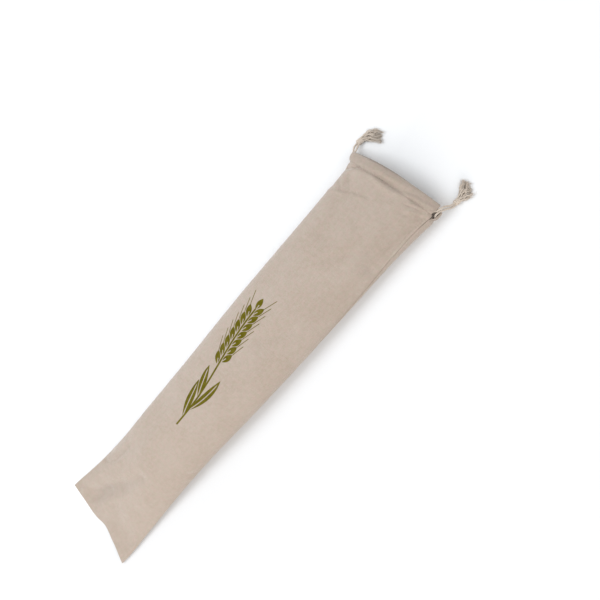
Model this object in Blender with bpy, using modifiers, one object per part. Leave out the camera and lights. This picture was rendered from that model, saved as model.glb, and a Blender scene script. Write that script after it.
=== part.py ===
"""Linen bread bag: a long flat bag of two panels with a drawcord casing at its mouth.

The bag lies on its back panel along X, closed end at -X and mouth at +X, in the rounded
shape of a bag in use, with nothing in it. Metres, +Z up, the floor at Z = 0. The origin is
on the resting face, midway along the bag.

Both panels are drawn on one closed shell. A place on it is `at`, from 0 at the bottom seam
to 1 at the mouth, and `turn`, an angle round the bag: 0 at its right side, pi / 2 on the
crown, pi at its left side, and negative underneath.
"""

import bisect
import math
from collections import namedtuple

import bmesh
import bpy
import numpy as np
from mathutils import Vector

MM = 0.001

# Cloth and sewing
BAG_LENGTH = 700 * MM  # from the bottom seam to the mouth
CLOTH = 1.0 * MM  # thickness of the cloth
CLEAR = 0.3 * MM  # gap that pieces keep where they touch
SEAM_CLEAR = 0.6 * MM  # gap between the panels' edges at a side seam
FLOOR = CLOTH / 2  # height of the cloth's middle where it lies on the floor
LAYER_STEP = CLOTH + CLEAR  # from one layer of cloth to the next where they lie together
UNDER_REACH = 0.75  # share of the way to the middle at which the underside meets the floor
LAYER_SOFTNESS = 3 * MM  # how gently the front panel comes to rest on the back one
MOUTH_BOW = 4 * MM  # how far both hems bow out between the corners
BACK_PROUD = 3 * MM  # how far the middle of the back hem shows past the front one
BACK_SHORT = 6 * MM  # how far the back hem is drawn back at the right corner
MOUTH_REACH = 0.12  # share of the bag over which the mouth's bows fade out
SHORT_REACH = 0.25  # share of the bag over which the back hem's drawing back fades out
SEAM_REACH = 0.07  # share of the bag over which the bottom seam's bow fades out
SEAM_LIFT = 2 * MM  # how far the middle of the bottom seam stands off the floor

# Drawcord casing
SLIT_FRONT = 4.5 * MM  # distance from a side seam's line to the front casing's open end
SLIT_BACK = 5.5 * MM  # and to the back casing's
SLIT_FROM = 24 * MM  # the side seam starts to open this far from the mouth
SLIT_TO = 18 * MM  # and is fully open from here on
FOLD_RADIUS = 2.7 * MM  # of the casing's fold at the mouth
CASING_MID = FOLD_RADIUS  # the cords run this far inside the outer cloth

# Drawcords
CORD_DIAMETER = 3 * MM
LANE_END = 9.5 * MM  # a lane starts this far round the shell from a side seam's line
LANE_PARTS = 13  # in a lane from one side seam to the other

# Knotted and frayed ends
KNOT_RADIUS = 4.5 * MM
KNOT_LENGTH = 9 * MM
KNOT_FLAT = 0.8  # share of the knot's half length where its flat ends lie
KNOT_RIDGE = 0.13  # height of the knot's two turns, as a share of its radius
STRANDS = 24
STRAND_RADIUS = 0.45 * MM
STRAND_STEPS = 6
ROOT_SPREAD = 3.0 * MM  # radius of the patch that the strands grow from
STRAND_PILE = 0.9  # height of the pile that the strands settle in, as a share of that patch's
GOLDEN_ANGLE = math.radians(137.508)

FRONT_COLUMNS = 18
BACK_COLUMNS = 16

LINEN = (0.50, 0.43, 0.37, 1)
COTTON = (0.58, 0.52, 0.44, 1)

# The shell's sections across the bag. Sizes in mm, roll in degrees.
#   left_x .. right_y  the shell's widest points in plan
#   crown              height of the front panel's top
#   left_z, right_z    height of the widest points
#   flank              0.5 for a round section, over 1 for a swell with flat flanks
#   roll               how far the right seam has rolled up on to the front
Section = namedtuple("Section", "at left_x left_y right_x right_y crown left_z right_z flank roll")
SECTIONS = [
    Section(0.00, -326, 68.5, -373, -69.0, 0.5, 0.5, 0.5, 1.50, 0),
    Section(0.03, -311, 67.0, -346, -68.8, 6.0, 0.7, 0.7, 1.45, 0),
    Section(0.07, -286, 63.5, -312, -67.0, 17.0, 3.0, 2.0, 1.25, 0),
    Section(0.12, -254, 60.0, -272, -65.0, 28.0, 8.0, 6.0, 0.95, 0),
    Section(0.20, -204, 57.5, -212, -62.3, 41.0, 16.0, 14.0, 0.65, 0),
    Section(0.30, -138, 58.5, -140, -61.0, 50.0, 21.0, 20.0, 0.54, 0),
    Section(0.45, -35, 60.0, -35, -63.7, 54.0, 23.0, 23.0, 0.50, 2),
    Section(0.60, 70, 63.0, 70, -65.2, 53.0, 22.0, 23.0, 0.50, 6),
    Section(0.75, 175, 64.0, 176, -65.6, 50.0, 21.0, 22.0, 0.50, 14),
    Section(0.88, 262, 64.5, 272, -66.5, 47.0, 19.0, 20.0, 0.50, 24),
    Section(0.95, 306, 66.0, 324, -69.5, 45.0, 16.0, 18.0, 0.52, 28),
    Section(0.98, 325, 71.5, 346, -71.5, 44.0, 14.0, 17.0, 0.54, 26),
    Section(1.00, 338, 73.0, 361, -72.5, 43.0, 14.0, 16.0, 0.56, 24),
]

# How far the bottom seam bows in from the straight line between its corners, in mm, at
# shares of the way from the left corner to the right one.
Bow = namedtuple("Bow", "across inward")
BOTTOM_BOW = [Bow(0, 0), Bow(0.2, 2.5), Bow(0.45, 6), Bow(0.53, 9.5), Bow(0.75, 6.5), Bow(1, 0)]

# Soft troughs (negative) and ridges across the front panel, in plan, in mm.
Fold = namedtuple("Fold", "x_0 y_0 x_1 y_1 width height")
FRONT_FOLDS = [
    Fold(-318, 44, -262, 14, 15, -5.0),  # trough from the left corner to the swell
    Fold(-300, 60, -232, 43, 8, 3.5),  # ridge beside it, along the left edge
    Fold(-345, -52, -275, -30, 13, -2.5),  # trough from the right corner
    Fold(-190, 42, -60, 50, 12, -2.2),  # slack along the left flank
    Fold(-140, -35, 30, -50, 14, -1.8),
    Fold(60, -10, 190, -40, 16, -1.6),
    Fold(230, 30, 330, 55, 9, -1.8),  # drag line to the left cord's slit
    Fold(255, -30, 335, -52, 8, -1.8),  # drag line to the right cord's slit
    Fold(200, 5, 320, -12, 14, 1.2),
]

# The hem's rows, in mm: distance from the mouth's edge, and distance inside the shell.
HemRow = namedtuple("HemRow", "back inside")
HEM_OUTER = [
    HemRow(30.0, 0.0),
    HemRow(24.0, 0.1),
    HemRow(20.0, 0.9),
    HemRow(17.5, 1.7),  # the stitch line's groove
    HemRow(15.0, 0.8),
    HemRow(12.5, -0.2),
    HemRow(9.5, -0.6),
    HemRow(6.0, -0.4),
]
HEM_INNER = [
    HemRow(6.0, 5.4),
    HemRow(9.5, 5.4),
    HemRow(12.5, 5.3),
    HemRow(15.0, 4.1),
    HemRow(17.5, 3.2),
    HemRow(20.0, 2.6),
]
FOLD_STEPS = 5

# A drawcord and its tie, in mm. It comes out of the slit on its own side.
#   lane                its distance from the mouth's edge inside the casing
#   front_end, back_end its free ends, from the front and back casing to the knot
#   far_turn            its way from the front casing to the back one at the other slit
#   knot_x .. heading   the knot's place, and the way that the frayed strands point, in degrees
#   strand_length       of the longest strand
#   spread              width of the strands at their tips, as a multiple of that at their roots
#   bend                how far the tips have swung to the left
TIE_FIELDS = "side lane front_end back_end far_turn knot_x knot_y heading"
Tie = namedtuple("Tie", TIE_FIELDS + " strand_length spread bend")
LEFT_TIE = Tie(
    side="left",
    lane=4,
    front_end=[
        (335.7, 69.1, 17.7),
        (337.3, 70.4, 15.6),
        (340.6, 71.3, 13.4),
        (343.6, 72.4, 10.7),
        (346.4, 73.5, 8.3),
        (349.3, 74.2, 6.9),
    ],
    back_end=[
        (335.9, 69.8, 10.3),
        (337.1, 71.9, 11.4),
        (339.1, 74.0, 11.0),
        (341.7, 75.9, 9.3),
        (344.4, 76.9, 6.8),
        (346.8, 77.2, 4.8),
        (349.3, 77.0, 3.6),
    ],
    far_turn=[(355.2, -60.8, 26.2), (353.3, -63.7, 23.6), (351.1, -67.0, 21.4)],
    knot_x=354.0,
    knot_y=76.0,
    heading=-10,
    strand_length=29,
    spread=3.6,
    bend=-11,
)
RIGHT_TIE = Tie(
    side="right",
    lane=11,
    front_end=[
        (348.4, -59.0, 28.3),
        (349.7, -61.3, 27.5),
        (351.9, -63.1, 27.5),
        (355.2, -64.4, 27.8),
        (359.3, -65.7, 25.6),
        (362.9, -67.6, 21.0),
        (365.6, -70.0, 15.6),
        (368.1, -72.4, 10.7),
        (370.9, -74.2, 7.6),
        (374.2, -75.0, 6.0),
    ],
    back_end=[
        (343.9, -67.5, 21.1),
        (345.0, -66.4, 23.3),
        (347.0, -66.0, 25.2),
        (349.8, -66.0, 26.2),
        (353.2, -66.9, 25.7),
        (357.0, -68.6, 23.1),
        (360.6, -70.8, 19.0),
        (363.6, -73.2, 13.9),
        (366.6, -75.6, 9.0),
        (370.2, -77.3, 5.6),
        (374.2, -78.0, 4.0),
    ],
    far_turn=[(327.8, 69.8, 13.9)],
    knot_x=379.0,
    knot_y=-76.5,
    heading=-4,
    strand_length=37,
    spread=4.2,
    bend=5,
)

BODY_STATIONS = [0.0, 0.012, 0.03, 0.05, 0.075, 0.10, 0.13, 0.16, 0.195, 0.235, 0.28, 0.33]
BODY_STATIONS += [0.385, 0.44, 0.50, 0.56, 0.62, 0.68, 0.735, 0.785, 0.83, 0.87, 0.905, 0.935]


def clear_scene():
    """Empties the scene of its default objects."""
    for obj in list(bpy.data.objects):
        bpy.data.objects.remove(obj)


def collection(name):
    """A new collection in the scene."""
    made = bpy.data.collections.new(name)
    bpy.context.scene.collection.children.link(made)
    return made


def material(name, color, roughness):
    """A plain Principled material."""
    made = bpy.data.materials.new(name)
    made.use_nodes = True
    shader = made.node_tree.nodes["Principled BSDF"]
    shader.inputs["Base Color"].default_value = color
    shader.inputs["Roughness"].default_value = roughness
    shader.inputs["Metallic"].default_value = 0
    return made


class Smooth:
    """A smooth curve through the points (xs, ys)."""

    def __init__(self, xs, ys):
        self.xs, self.ys = list(xs), list(ys)
        self.slopes = np.gradient(self.ys, self.xs).tolist()

    def at(self, x):
        """The curve's height at x."""
        i = min(max(bisect.bisect_right(self.xs, x) - 1, 0), len(self.xs) - 2)
        span = self.xs[i + 1] - self.xs[i]
        t = (x - self.xs[i]) / span
        rise = self.ys[i + 1] - self.ys[i]
        start, end = self.slopes[i] * span, self.slopes[i + 1] * span
        bulge = 3 * rise - 2 * start - end + t * (start + end - 2 * rise)
        return self.ys[i] + t * (start + t * bulge)


PLACES = [section.at for section in SECTIONS]
SECTION = {
    name: Smooth(PLACES, [getattr(section, name) for section in SECTIONS])
    for name in Section._fields[1:]
}
SEAM_BOW = Smooth([b.across for b in BOTTOM_BOW], [b.inward for b in BOTTOM_BOW])


def fold_height(x, y):
    """The front panel's soft folds at a place in plan, in metres."""
    total = 0.0
    for fold in FRONT_FOLDS:
        start = Vector((fold.x_0 * MM, fold.y_0 * MM))
        along = Vector((fold.x_1 * MM, fold.y_1 * MM)) - start
        share = (Vector((x, y)) - start).dot(along) / along.length_squared
        nearest = start + along * min(1.0, max(0.0, share))
        away = (Vector((x, y)) - nearest).length / (fold.width * MM)
        total += fold.height * MM * math.exp(-away * away)
    return total


def end_bows(at, turn):
    """How far the shell is moved along X by the bows of the bottom seam and of the mouth."""
    inward = abs(math.sin(turn))
    from_left = (1 + math.cos(turn)) / 2
    near_seam = max(0.0, 1 - at / SEAM_REACH)
    near_mouth = max(0.0, 1 - (1 - at) / MOUTH_REACH)
    mouth_bow = MOUTH_BOW + (BACK_PROUD if turn < 0 else 0)
    return SEAM_BOW.at(from_left) * MM * near_seam + mouth_bow * near_mouth**2 * inward**2


def shell_point(at, turn):
    """The middle of the cloth on the closed shell."""
    row = {name: curve.at(at) for name, curve in SECTION.items()}
    from_left = (1 + math.cos(turn)) / 2
    inward = abs(math.sin(turn))
    x = (row["left_x"] + (row["right_x"] - row["left_x"]) * from_left) * MM + end_bows(at, turn)
    y = (row["left_y"] + (row["right_y"] - row["left_y"]) * from_left) * MM
    side_z = (row["left_z"] + (row["right_z"] - row["left_z"]) * from_left) * MM
    off_floor = SEAM_LIFT * inward**2 * max(0.0, 1 - at / SEAM_REACH) ** 2
    under = FLOOR + off_floor + (side_z - FLOOR) * max(0.0, 1 - inward / UNDER_REACH) ** 2
    if math.sin(turn) < 0:
        return Vector((x, y, under))
    arch = inward ** (2 * row["flank"])
    over = side_z + (row["crown"] * MM - side_z) * arch + off_floor + fold_height(x, y) * inward
    softness = LAYER_SOFTNESS * inward * min(1.0, at / SEAM_REACH)
    gap = over - under
    return Vector((x, y, under + (gap + math.sqrt(gap * gap + softness * softness)) / 2))


def shell_normal(at, turn):
    """The shell's unit normal, pointing into the bag."""
    step_at, step_turn = 0.004, 0.02
    low, high = max(0.0, at - step_at), min(1.0, at + step_at)
    along = shell_point(high, turn) - shell_point(low, turn)
    around = shell_point(at, turn + step_turn) - shell_point(at, turn - step_turn)
    return around.cross(along).normalized()


def seam_turn(side, at):
    """The angle of a side seam."""
    return math.radians(SECTION["roll"].at(at)) if side == "right" else math.pi


def turn_past(distance, at, turn):
    """The angle that a distance round the shell covers from a place on it."""
    step = 0.01
    covered, reached = 0.0, turn
    way = math.copysign(step, distance)
    while covered < abs(distance):
        length = (shell_point(at, reached + way) - shell_point(at, reached)).length
        if covered + length >= abs(distance):
            way *= (abs(distance) - covered) / length
            length = abs(distance) - covered + 1e-12
        covered += length
        reached += way
    return reached


def back_place(at, turn):
    """Where a row of the back panel lies, which is drawn back towards the right corner."""
    from_left = (1 + math.cos(turn)) / 2
    near_mouth = max(0.0, 1 - (1 - at) / SHORT_REACH)
    return at - BACK_SHORT / BAG_LENGTH * (near_mouth * from_left) ** 2


def layer_lift(side, at):
    """How far the front panel is lifted off the back one at a seam, where they lie as layers."""
    turn = seam_turn(side, at)
    to_front = math.pi / FRONT_COLUMNS * (1 if side == "right" else -1)
    here = shell_point(at, turn)
    front = (shell_point(at, turn + to_front) - here).normalized()
    back = (shell_point(at, turn - to_front) - here).normalized()
    return LAYER_STEP * math.sqrt(max(0.0, (1 + front.dot(back)) / 2))


def edge_gap(slit, back):
    """How far a panel's edge stands back from a side seam, in a row that far from the mouth."""
    opened = (SLIT_FROM - back) / (SLIT_FROM - SLIT_TO)
    return SEAM_CLEAR / 2 + (slit - SEAM_CLEAR / 2) * min(1.0, max(0.0, opened))


def evenly(start, end, parts):
    """Evenly spaced numbers from start to end."""
    return [start + (end - start) * i / parts for i in range(parts + 1)]


def front_point(at, turn, inside):
    """The middle of the front panel's cloth."""
    right, left = layer_lift("right", at), layer_lift("left", at)
    from_left = (1 + math.cos(turn)) / 2
    lift = Vector((0, 0, left + (right - left) * from_left))
    return shell_point(at, turn) + lift + shell_normal(at, turn) * inside


def back_point(at, turn, inside):
    """The middle of the back panel's cloth, which the floor keeps flat underneath."""
    place = back_place(at, turn)
    point = shell_point(place, turn) + shell_normal(place, turn) * inside
    return Vector((point.x, point.y, max(point.z, FLOOR)))


def front_turns(at, back):
    """The angles of the front panel's columns in one row, from the right seam over the top."""
    gap = edge_gap(SLIT_FRONT, back)
    start = turn_past(gap, at, seam_turn("right", at))
    end = turn_past(-gap, at, seam_turn("left", at))
    return evenly(start, end, FRONT_COLUMNS)


def back_turns(at, back):
    """The angles of the back panel's columns in one row, from the left seam underneath."""
    gap = edge_gap(SLIT_BACK, back)
    start = turn_past(gap, at, -math.pi)
    end = turn_past(-gap, at, seam_turn("right", at))
    return evenly(start, end, BACK_COLUMNS)


def panel_rows():
    """Each row of a panel's cloth, as its place along the bag, its distance from the mouth's
    edge and its distance inside the shell."""
    rows = [((1 - at) * BAG_LENGTH, 0.0) for at in BODY_STATIONS]
    rows += [(row.back * MM, row.inside * MM) for row in HEM_OUTER]
    for angle in evenly(0, math.pi, FOLD_STEPS):
        rows.append((FOLD_RADIUS * (1 - math.sin(angle)), FOLD_RADIUS * (1 - math.cos(angle))))
    rows += [(row.back * MM, row.inside * MM) for row in HEM_INNER]
    return [(1 - back / BAG_LENGTH, back, inside) for back, inside in rows]


def make_panel(name, turns_of, point_of, linen):
    """One panel with its hem turned in at the mouth, a cloth sheet given its thickness."""
    bm = bmesh.new()
    grid = []
    for at, back, inside in panel_rows():
        grid.append([bm.verts.new(point_of(at, turn, inside)) for turn in turns_of(at, back)])
    for low, high in zip(grid, grid[1:]):
        for i in range(len(low) - 1):
            bm.faces.new((low[i], high[i], high[i + 1], low[i + 1]))
    mesh = bpy.data.meshes.new(name)
    bm.to_mesh(mesh)
    bm.free()
    mesh.shade_smooth()
    mesh.materials.append(linen)
    panel = bpy.data.objects.new(name, mesh)
    bag.objects.link(panel)
    thickness = panel.modifiers.new("cloth thickness", "SOLIDIFY")
    thickness.thickness = CLOTH
    thickness.offset = 0
    thickness.use_even_offset = True
    thickness.use_rim = True
    return panel


def lane_points(tie, panel):
    """The middle of a drawcord inside one panel's casing, from its tie's side to the other."""
    at = 1 - tie.lane * MM / BAG_LENGTH
    right, left = seam_turn("right", at), seam_turn("left", at)
    if panel == "front":
        start, end = turn_past(LANE_END, at, right), turn_past(-LANE_END, at, left)
    else:
        start, end = turn_past(-LANE_END, at, right), turn_past(LANE_END, at, left - 2 * math.pi)
    point_of = front_point if panel == "front" else back_point
    points = [point_of(at, turn, CASING_MID) for turn in evenly(start, end, LANE_PARTS)]
    return points if tie.side == "right" else points[::-1]


def smooth_route(stretches):
    """The points of a tube on one smooth curve. Each stretch is its own points, and the number
    of parts in which the curve is drawn from one of them to the next."""
    own, parts = [], []
    for points, pieces in stretches:
        own += points
        parts += [pieces] * len(points)
    lengths = [0.0]
    for a, b in zip(own, own[1:]):
        lengths.append(lengths[-1] + (b - a).length)
    places = []
    for i, (start, end) in enumerate(zip(lengths, lengths[1:])):
        pieces = min(parts[i], parts[i + 1])
        places += evenly(start, end, pieces)[:-1]
    places.append(lengths[-1])
    curves = [Smooth(lengths, [point[axis] for point in own]) for axis in range(3)]
    return [Vector([curve.at(place) for curve in curves]) for place in places]


def tubes(name, routes, radius, resolution):
    """A curve object with one round tube along each route."""
    curve = bpy.data.curves.new(name, "CURVE")
    curve.dimensions = "3D"
    curve.bevel_depth = radius
    curve.bevel_resolution = resolution
    curve.use_fill_caps = True
    for route in routes:
        spline = curve.splines.new("POLY")
        spline.points.add(len(route) - 1)
        for point, place in zip(spline.points, route):
            point.co = (*place, 1)
    return bpy.data.objects.new(name, curve)


def in_metres(points):
    """A table of places in mm, as vectors in metres."""
    return [Vector(point) * MM for point in points]


def make_drawcord(name, tie, cotton):
    """A drawcord: out of the knot, through both casings by way of the other slit, and back."""
    front, back = lane_points(tie, "front"), lane_points(tie, "back")
    stretches = [
        (in_metres(tie.front_end)[::-1], 2),
        (front, 1),
        (in_metres(tie.far_turn), 2),
        (back[::-1], 1),
        (in_metres(tie.back_end), 2),
    ]
    cord = tubes(name, [smooth_route(stretches)], CORD_DIAMETER / 2, 2)
    cord.data.materials.append(cotton)
    bag.objects.link(cord)
    return cord


def tie_axes(tie):
    """The middle of a tie's knot, the way its strands point, and the way across them."""
    heading = math.radians(tie.heading)
    along = Vector((math.cos(heading), math.sin(heading), 0))
    across = Vector((-along.y, along.x, 0))
    return Vector((tie.knot_x * MM, tie.knot_y * MM, KNOT_RADIUS)), along, across


def strand_route(tie, number):
    """One frayed strand, from inside the knot to its tip, settling on the floor."""
    knot, along, across = tie_axes(tie)
    reach = ROOT_SPREAD * math.sqrt((number + 0.5) / STRANDS)
    angle = number * GOLDEN_ANGLE
    length = tie.strand_length * MM * (0.84 + 0.16 * math.cos(number * 2.4))
    side, up = reach * math.cos(angle), reach * math.sin(angle)
    points = []
    for share in evenly(0, 1, STRAND_STEPS):
        settled = min(1.0, share * 2.2)
        settled = settled * settled * (3 - 2 * settled)
        lying = STRAND_RADIUS + (up + ROOT_SPREAD) * STRAND_PILE
        height = (knot.z + up) * (1 - settled) + lying * settled
        sideways = side * (1 + (tie.spread - 1) * share**1.1) + tie.bend * MM * share**2
        place = knot + along * (KNOT_LENGTH * 0.3 + length * share) + across * sideways
        points.append(Vector((place.x, place.y, height)))
    return points


def make_tassel(name, tie, cotton):
    """A drawcord's end: the knot over its two ends, and the frayed strands past it."""
    knot, along, _ = tie_axes(tie)
    routes = [strand_route(tie, number) for number in range(STRANDS)]
    strands = tubes(name + "_tubes", routes, STRAND_RADIUS, 0)
    cutters.objects.link(strands)
    depsgraph = bpy.context.evaluated_depsgraph_get()
    mesh = bpy.data.meshes.new_from_object(strands.evaluated_get(depsgraph))
    bm = bmesh.new()
    bm.from_mesh(mesh)
    bmesh.ops.remove_doubles(bm, verts=bm.verts, dist=0.00001)
    bm.to_mesh(mesh)
    bm.free()
    frayed = bpy.data.objects.new(name + "_strands", mesh)
    frayed.matrix_world = strands.matrix_world
    frayed.display_type = "WIRE"
    frayed.hide_render = True
    cutters.objects.link(frayed)
    bpy.data.objects.remove(strands)

    bm = bmesh.new()
    bmesh.ops.create_uvsphere(bm, u_segments=16, v_segments=10, radius=1)
    for vert in bm.verts:
        height = max(-KNOT_FLAT, min(KNOT_FLAT, vert.co.z))
        angle = math.atan2(vert.co.y, vert.co.x)
        fullness = math.hypot(vert.co.x, vert.co.y)
        if abs(vert.co.z) <= KNOT_FLAT:
            ridge = KNOT_RIDGE * (math.cos(2 * angle + 5 * height) - 1)
            fullness = fullness**0.6 * (1 + ridge)
        radius = KNOT_RADIUS * fullness
        vert.co = (radius * math.cos(angle), radius * math.sin(angle), height * KNOT_LENGTH / 2)
    knot_mesh = bpy.data.meshes.new(name)
    bm.to_mesh(knot_mesh)
    bm.free()
    knot_mesh.materials.append(cotton)
    tassel = bpy.data.objects.new(name, knot_mesh)
    tassel.location = knot
    tassel.rotation_euler = along.to_track_quat("Z", "Y").to_euler()
    bag.objects.link(tassel)
    fuse = tassel.modifiers.new("strands", "BOOLEAN")
    fuse.operation = "UNION"
    fuse.object = frayed
    fuse.use_self = True
    return tassel


clear_scene()
bag = collection("linen_bread_bag")
cutters = collection("cutters")
linen = material("linen", LINEN, 0.9)
cotton = material("cotton_cord", COTTON, 0.9)

make_panel("front_panel", front_turns, front_point, linen)
make_panel("back_panel", back_turns, back_point, linen)
make_drawcord("drawcord_left", LEFT_TIE, cotton)
make_drawcord("drawcord_right", RIGHT_TIE, cotton)
make_tassel("tassel_left", LEFT_TIE, cotton)
make_tassel("tassel_right", RIGHT_TIE, cotton)
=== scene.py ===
"""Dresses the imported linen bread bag: fine cloth, its sewing, twisted cords and frayed ends.

Metres, +Z up. The bag lies along X on its back panel, with its closed end at -X. A place on
its form is `at`, from 0 at the bottom seam to 1 at the mouth, and `turn`, an angle round the
bag: 0 at its right side, pi / 2 on the crown, pi at its left side, negative underneath.
"""
import logging
import math
from dataclasses import dataclass, field
from enum import Enum
from typing import Iterable, NamedTuple, Optional, Sequence, Union

import bpy
import numpy as np
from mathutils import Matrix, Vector, noise


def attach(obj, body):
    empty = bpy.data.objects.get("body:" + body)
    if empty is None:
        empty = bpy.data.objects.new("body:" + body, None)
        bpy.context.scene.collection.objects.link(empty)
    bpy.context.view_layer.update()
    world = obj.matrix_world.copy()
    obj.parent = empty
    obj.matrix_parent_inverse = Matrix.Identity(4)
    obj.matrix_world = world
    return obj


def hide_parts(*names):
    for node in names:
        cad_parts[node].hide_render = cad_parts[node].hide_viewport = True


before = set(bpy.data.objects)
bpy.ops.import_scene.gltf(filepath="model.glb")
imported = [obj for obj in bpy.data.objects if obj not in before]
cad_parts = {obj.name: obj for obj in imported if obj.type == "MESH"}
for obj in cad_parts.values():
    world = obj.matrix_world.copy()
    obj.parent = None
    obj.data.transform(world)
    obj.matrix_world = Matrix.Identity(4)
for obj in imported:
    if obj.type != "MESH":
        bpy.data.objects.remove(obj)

MM = 0.001
TINY = 1e-12
NEARLY_UPRIGHT = 0.1
GOLDEN_ANGLE = math.radians(137.508)
UP = np.array((0.0, 0.0, 1.0))
log = logging.getLogger("bread_bag")

Color = tuple[float, float, float]


# ---------------------------------------------------------------------------------------------
# Choices and tables
# ---------------------------------------------------------------------------------------------


class Side(Enum):
    """A side of the bag, as seen from its closed end."""

    LEFT = "left"
    RIGHT = "right"


class Slot(Enum):
    """The record's material slots."""

    LINEN = "linen"
    CORD = "cotton_cord"


class Section(NamedTuple):
    """A section across the bag: its widest points in plan, its heights, in mm, and its shape.

    flank is 0.5 for a round section and over 1 for a swell with flat flanks. roll is how far
    the right seam has rolled up on to the front, in degrees.
    """

    at: float
    left_x: float
    left_y: float
    right_x: float
    right_y: float
    crown: float
    left_z: float
    right_z: float
    flank: float
    roll: float


class Bow(NamedTuple):
    """How far the bottom seam bows in, in mm, at a share of the way from its left corner."""

    across: float
    inward: float


class Fold(NamedTuple):
    """A soft trough (negative) or ridge between two places in plan, in mm."""

    x_0: float
    y_0: float
    x_1: float
    y_1: float
    width: float
    height: float


class HemRow(NamedTuple):
    """A row of the hem, in mm: how far back from the mouth's edge, and how far inside."""

    back: float
    inside: float


class Leaf(NamedTuple):
    """A printed leaf, in mm: its foot on the stem, its side as 1 or -1, its slope and length."""

    foot: float
    side: int
    slope: float
    length: float


class Lamp(NamedTuple):
    """A soft rectangular lamp: its place and two sides in metres, and its power in watts."""

    name: str
    place: tuple[float, float, float]
    size: tuple[float, float]
    power: float
    color: Color


SECTIONS = (
    Section(0.00, -326, 68.5, -373, -69.0, 0.5, 0.5, 2.8, 1.50, 0),
    Section(0.03, -311, 67.0, -346, -68.8, 6.0, 0.7, 5.0, 1.45, 0),
    Section(0.07, -286, 63.5, -312, -67.0, 17.0, 3.0, 7.6, 1.25, 0),
    Section(0.12, -254, 60.0, -272, -65.0, 28.0, 8.0, 10.6, 0.95, 0),
    Section(0.20, -204, 57.5, -212, -62.3, 41.0, 16.0, 15.6, 0.65, 0),
    Section(0.30, -138, 58.5, -140, -61.0, 50.0, 21.0, 20.0, 0.54, 0),
    Section(0.45, -35, 60.0, -35, -63.7, 54.0, 23.0, 23.0, 0.50, 2),
    Section(0.60, 70, 63.0, 70, -65.2, 53.0, 22.0, 23.0, 0.50, 6),
    Section(0.75, 175, 64.0, 176, -65.6, 50.0, 21.0, 22.0, 0.50, 14),
    Section(0.88, 262, 64.5, 272, -66.5, 47.0, 19.0, 20.0, 0.50, 24),
    Section(0.95, 306, 66.0, 324, -69.5, 45.0, 16.0, 18.0, 0.52, 28),
    Section(0.98, 325, 71.5, 346, -71.5, 44.0, 14.0, 17.0, 0.54, 26),
    Section(1.00, 338, 73.0, 361, -72.5, 43.0, 14.0, 16.0, 0.56, 24),
)
BOTTOM_BOW = (Bow(0, 0), Bow(0.2, 2.5), Bow(0.45, 6), Bow(0.53, 9.5), Bow(0.75, 6.5), Bow(1, 0))
BROAD_FOLDS = (
    Fold(-318, 44, -262, 14, 15, -5.0),
    Fold(-300, 60, -232, 43, 8, 3.5),
    Fold(-345, -52, -275, -30, 13, -2.5),
    Fold(-190, 42, -60, 50, 12, -2.2),
    Fold(-140, -35, 30, -50, 14, -1.8),
    Fold(60, -10, 190, -40, 16, -1.6),
    Fold(230, 30, 330, 55, 9, -1.8),
    Fold(255, -30, 335, -52, 8, -1.8),
    Fold(200, 5, 320, -12, 14, 1.2),
)
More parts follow.
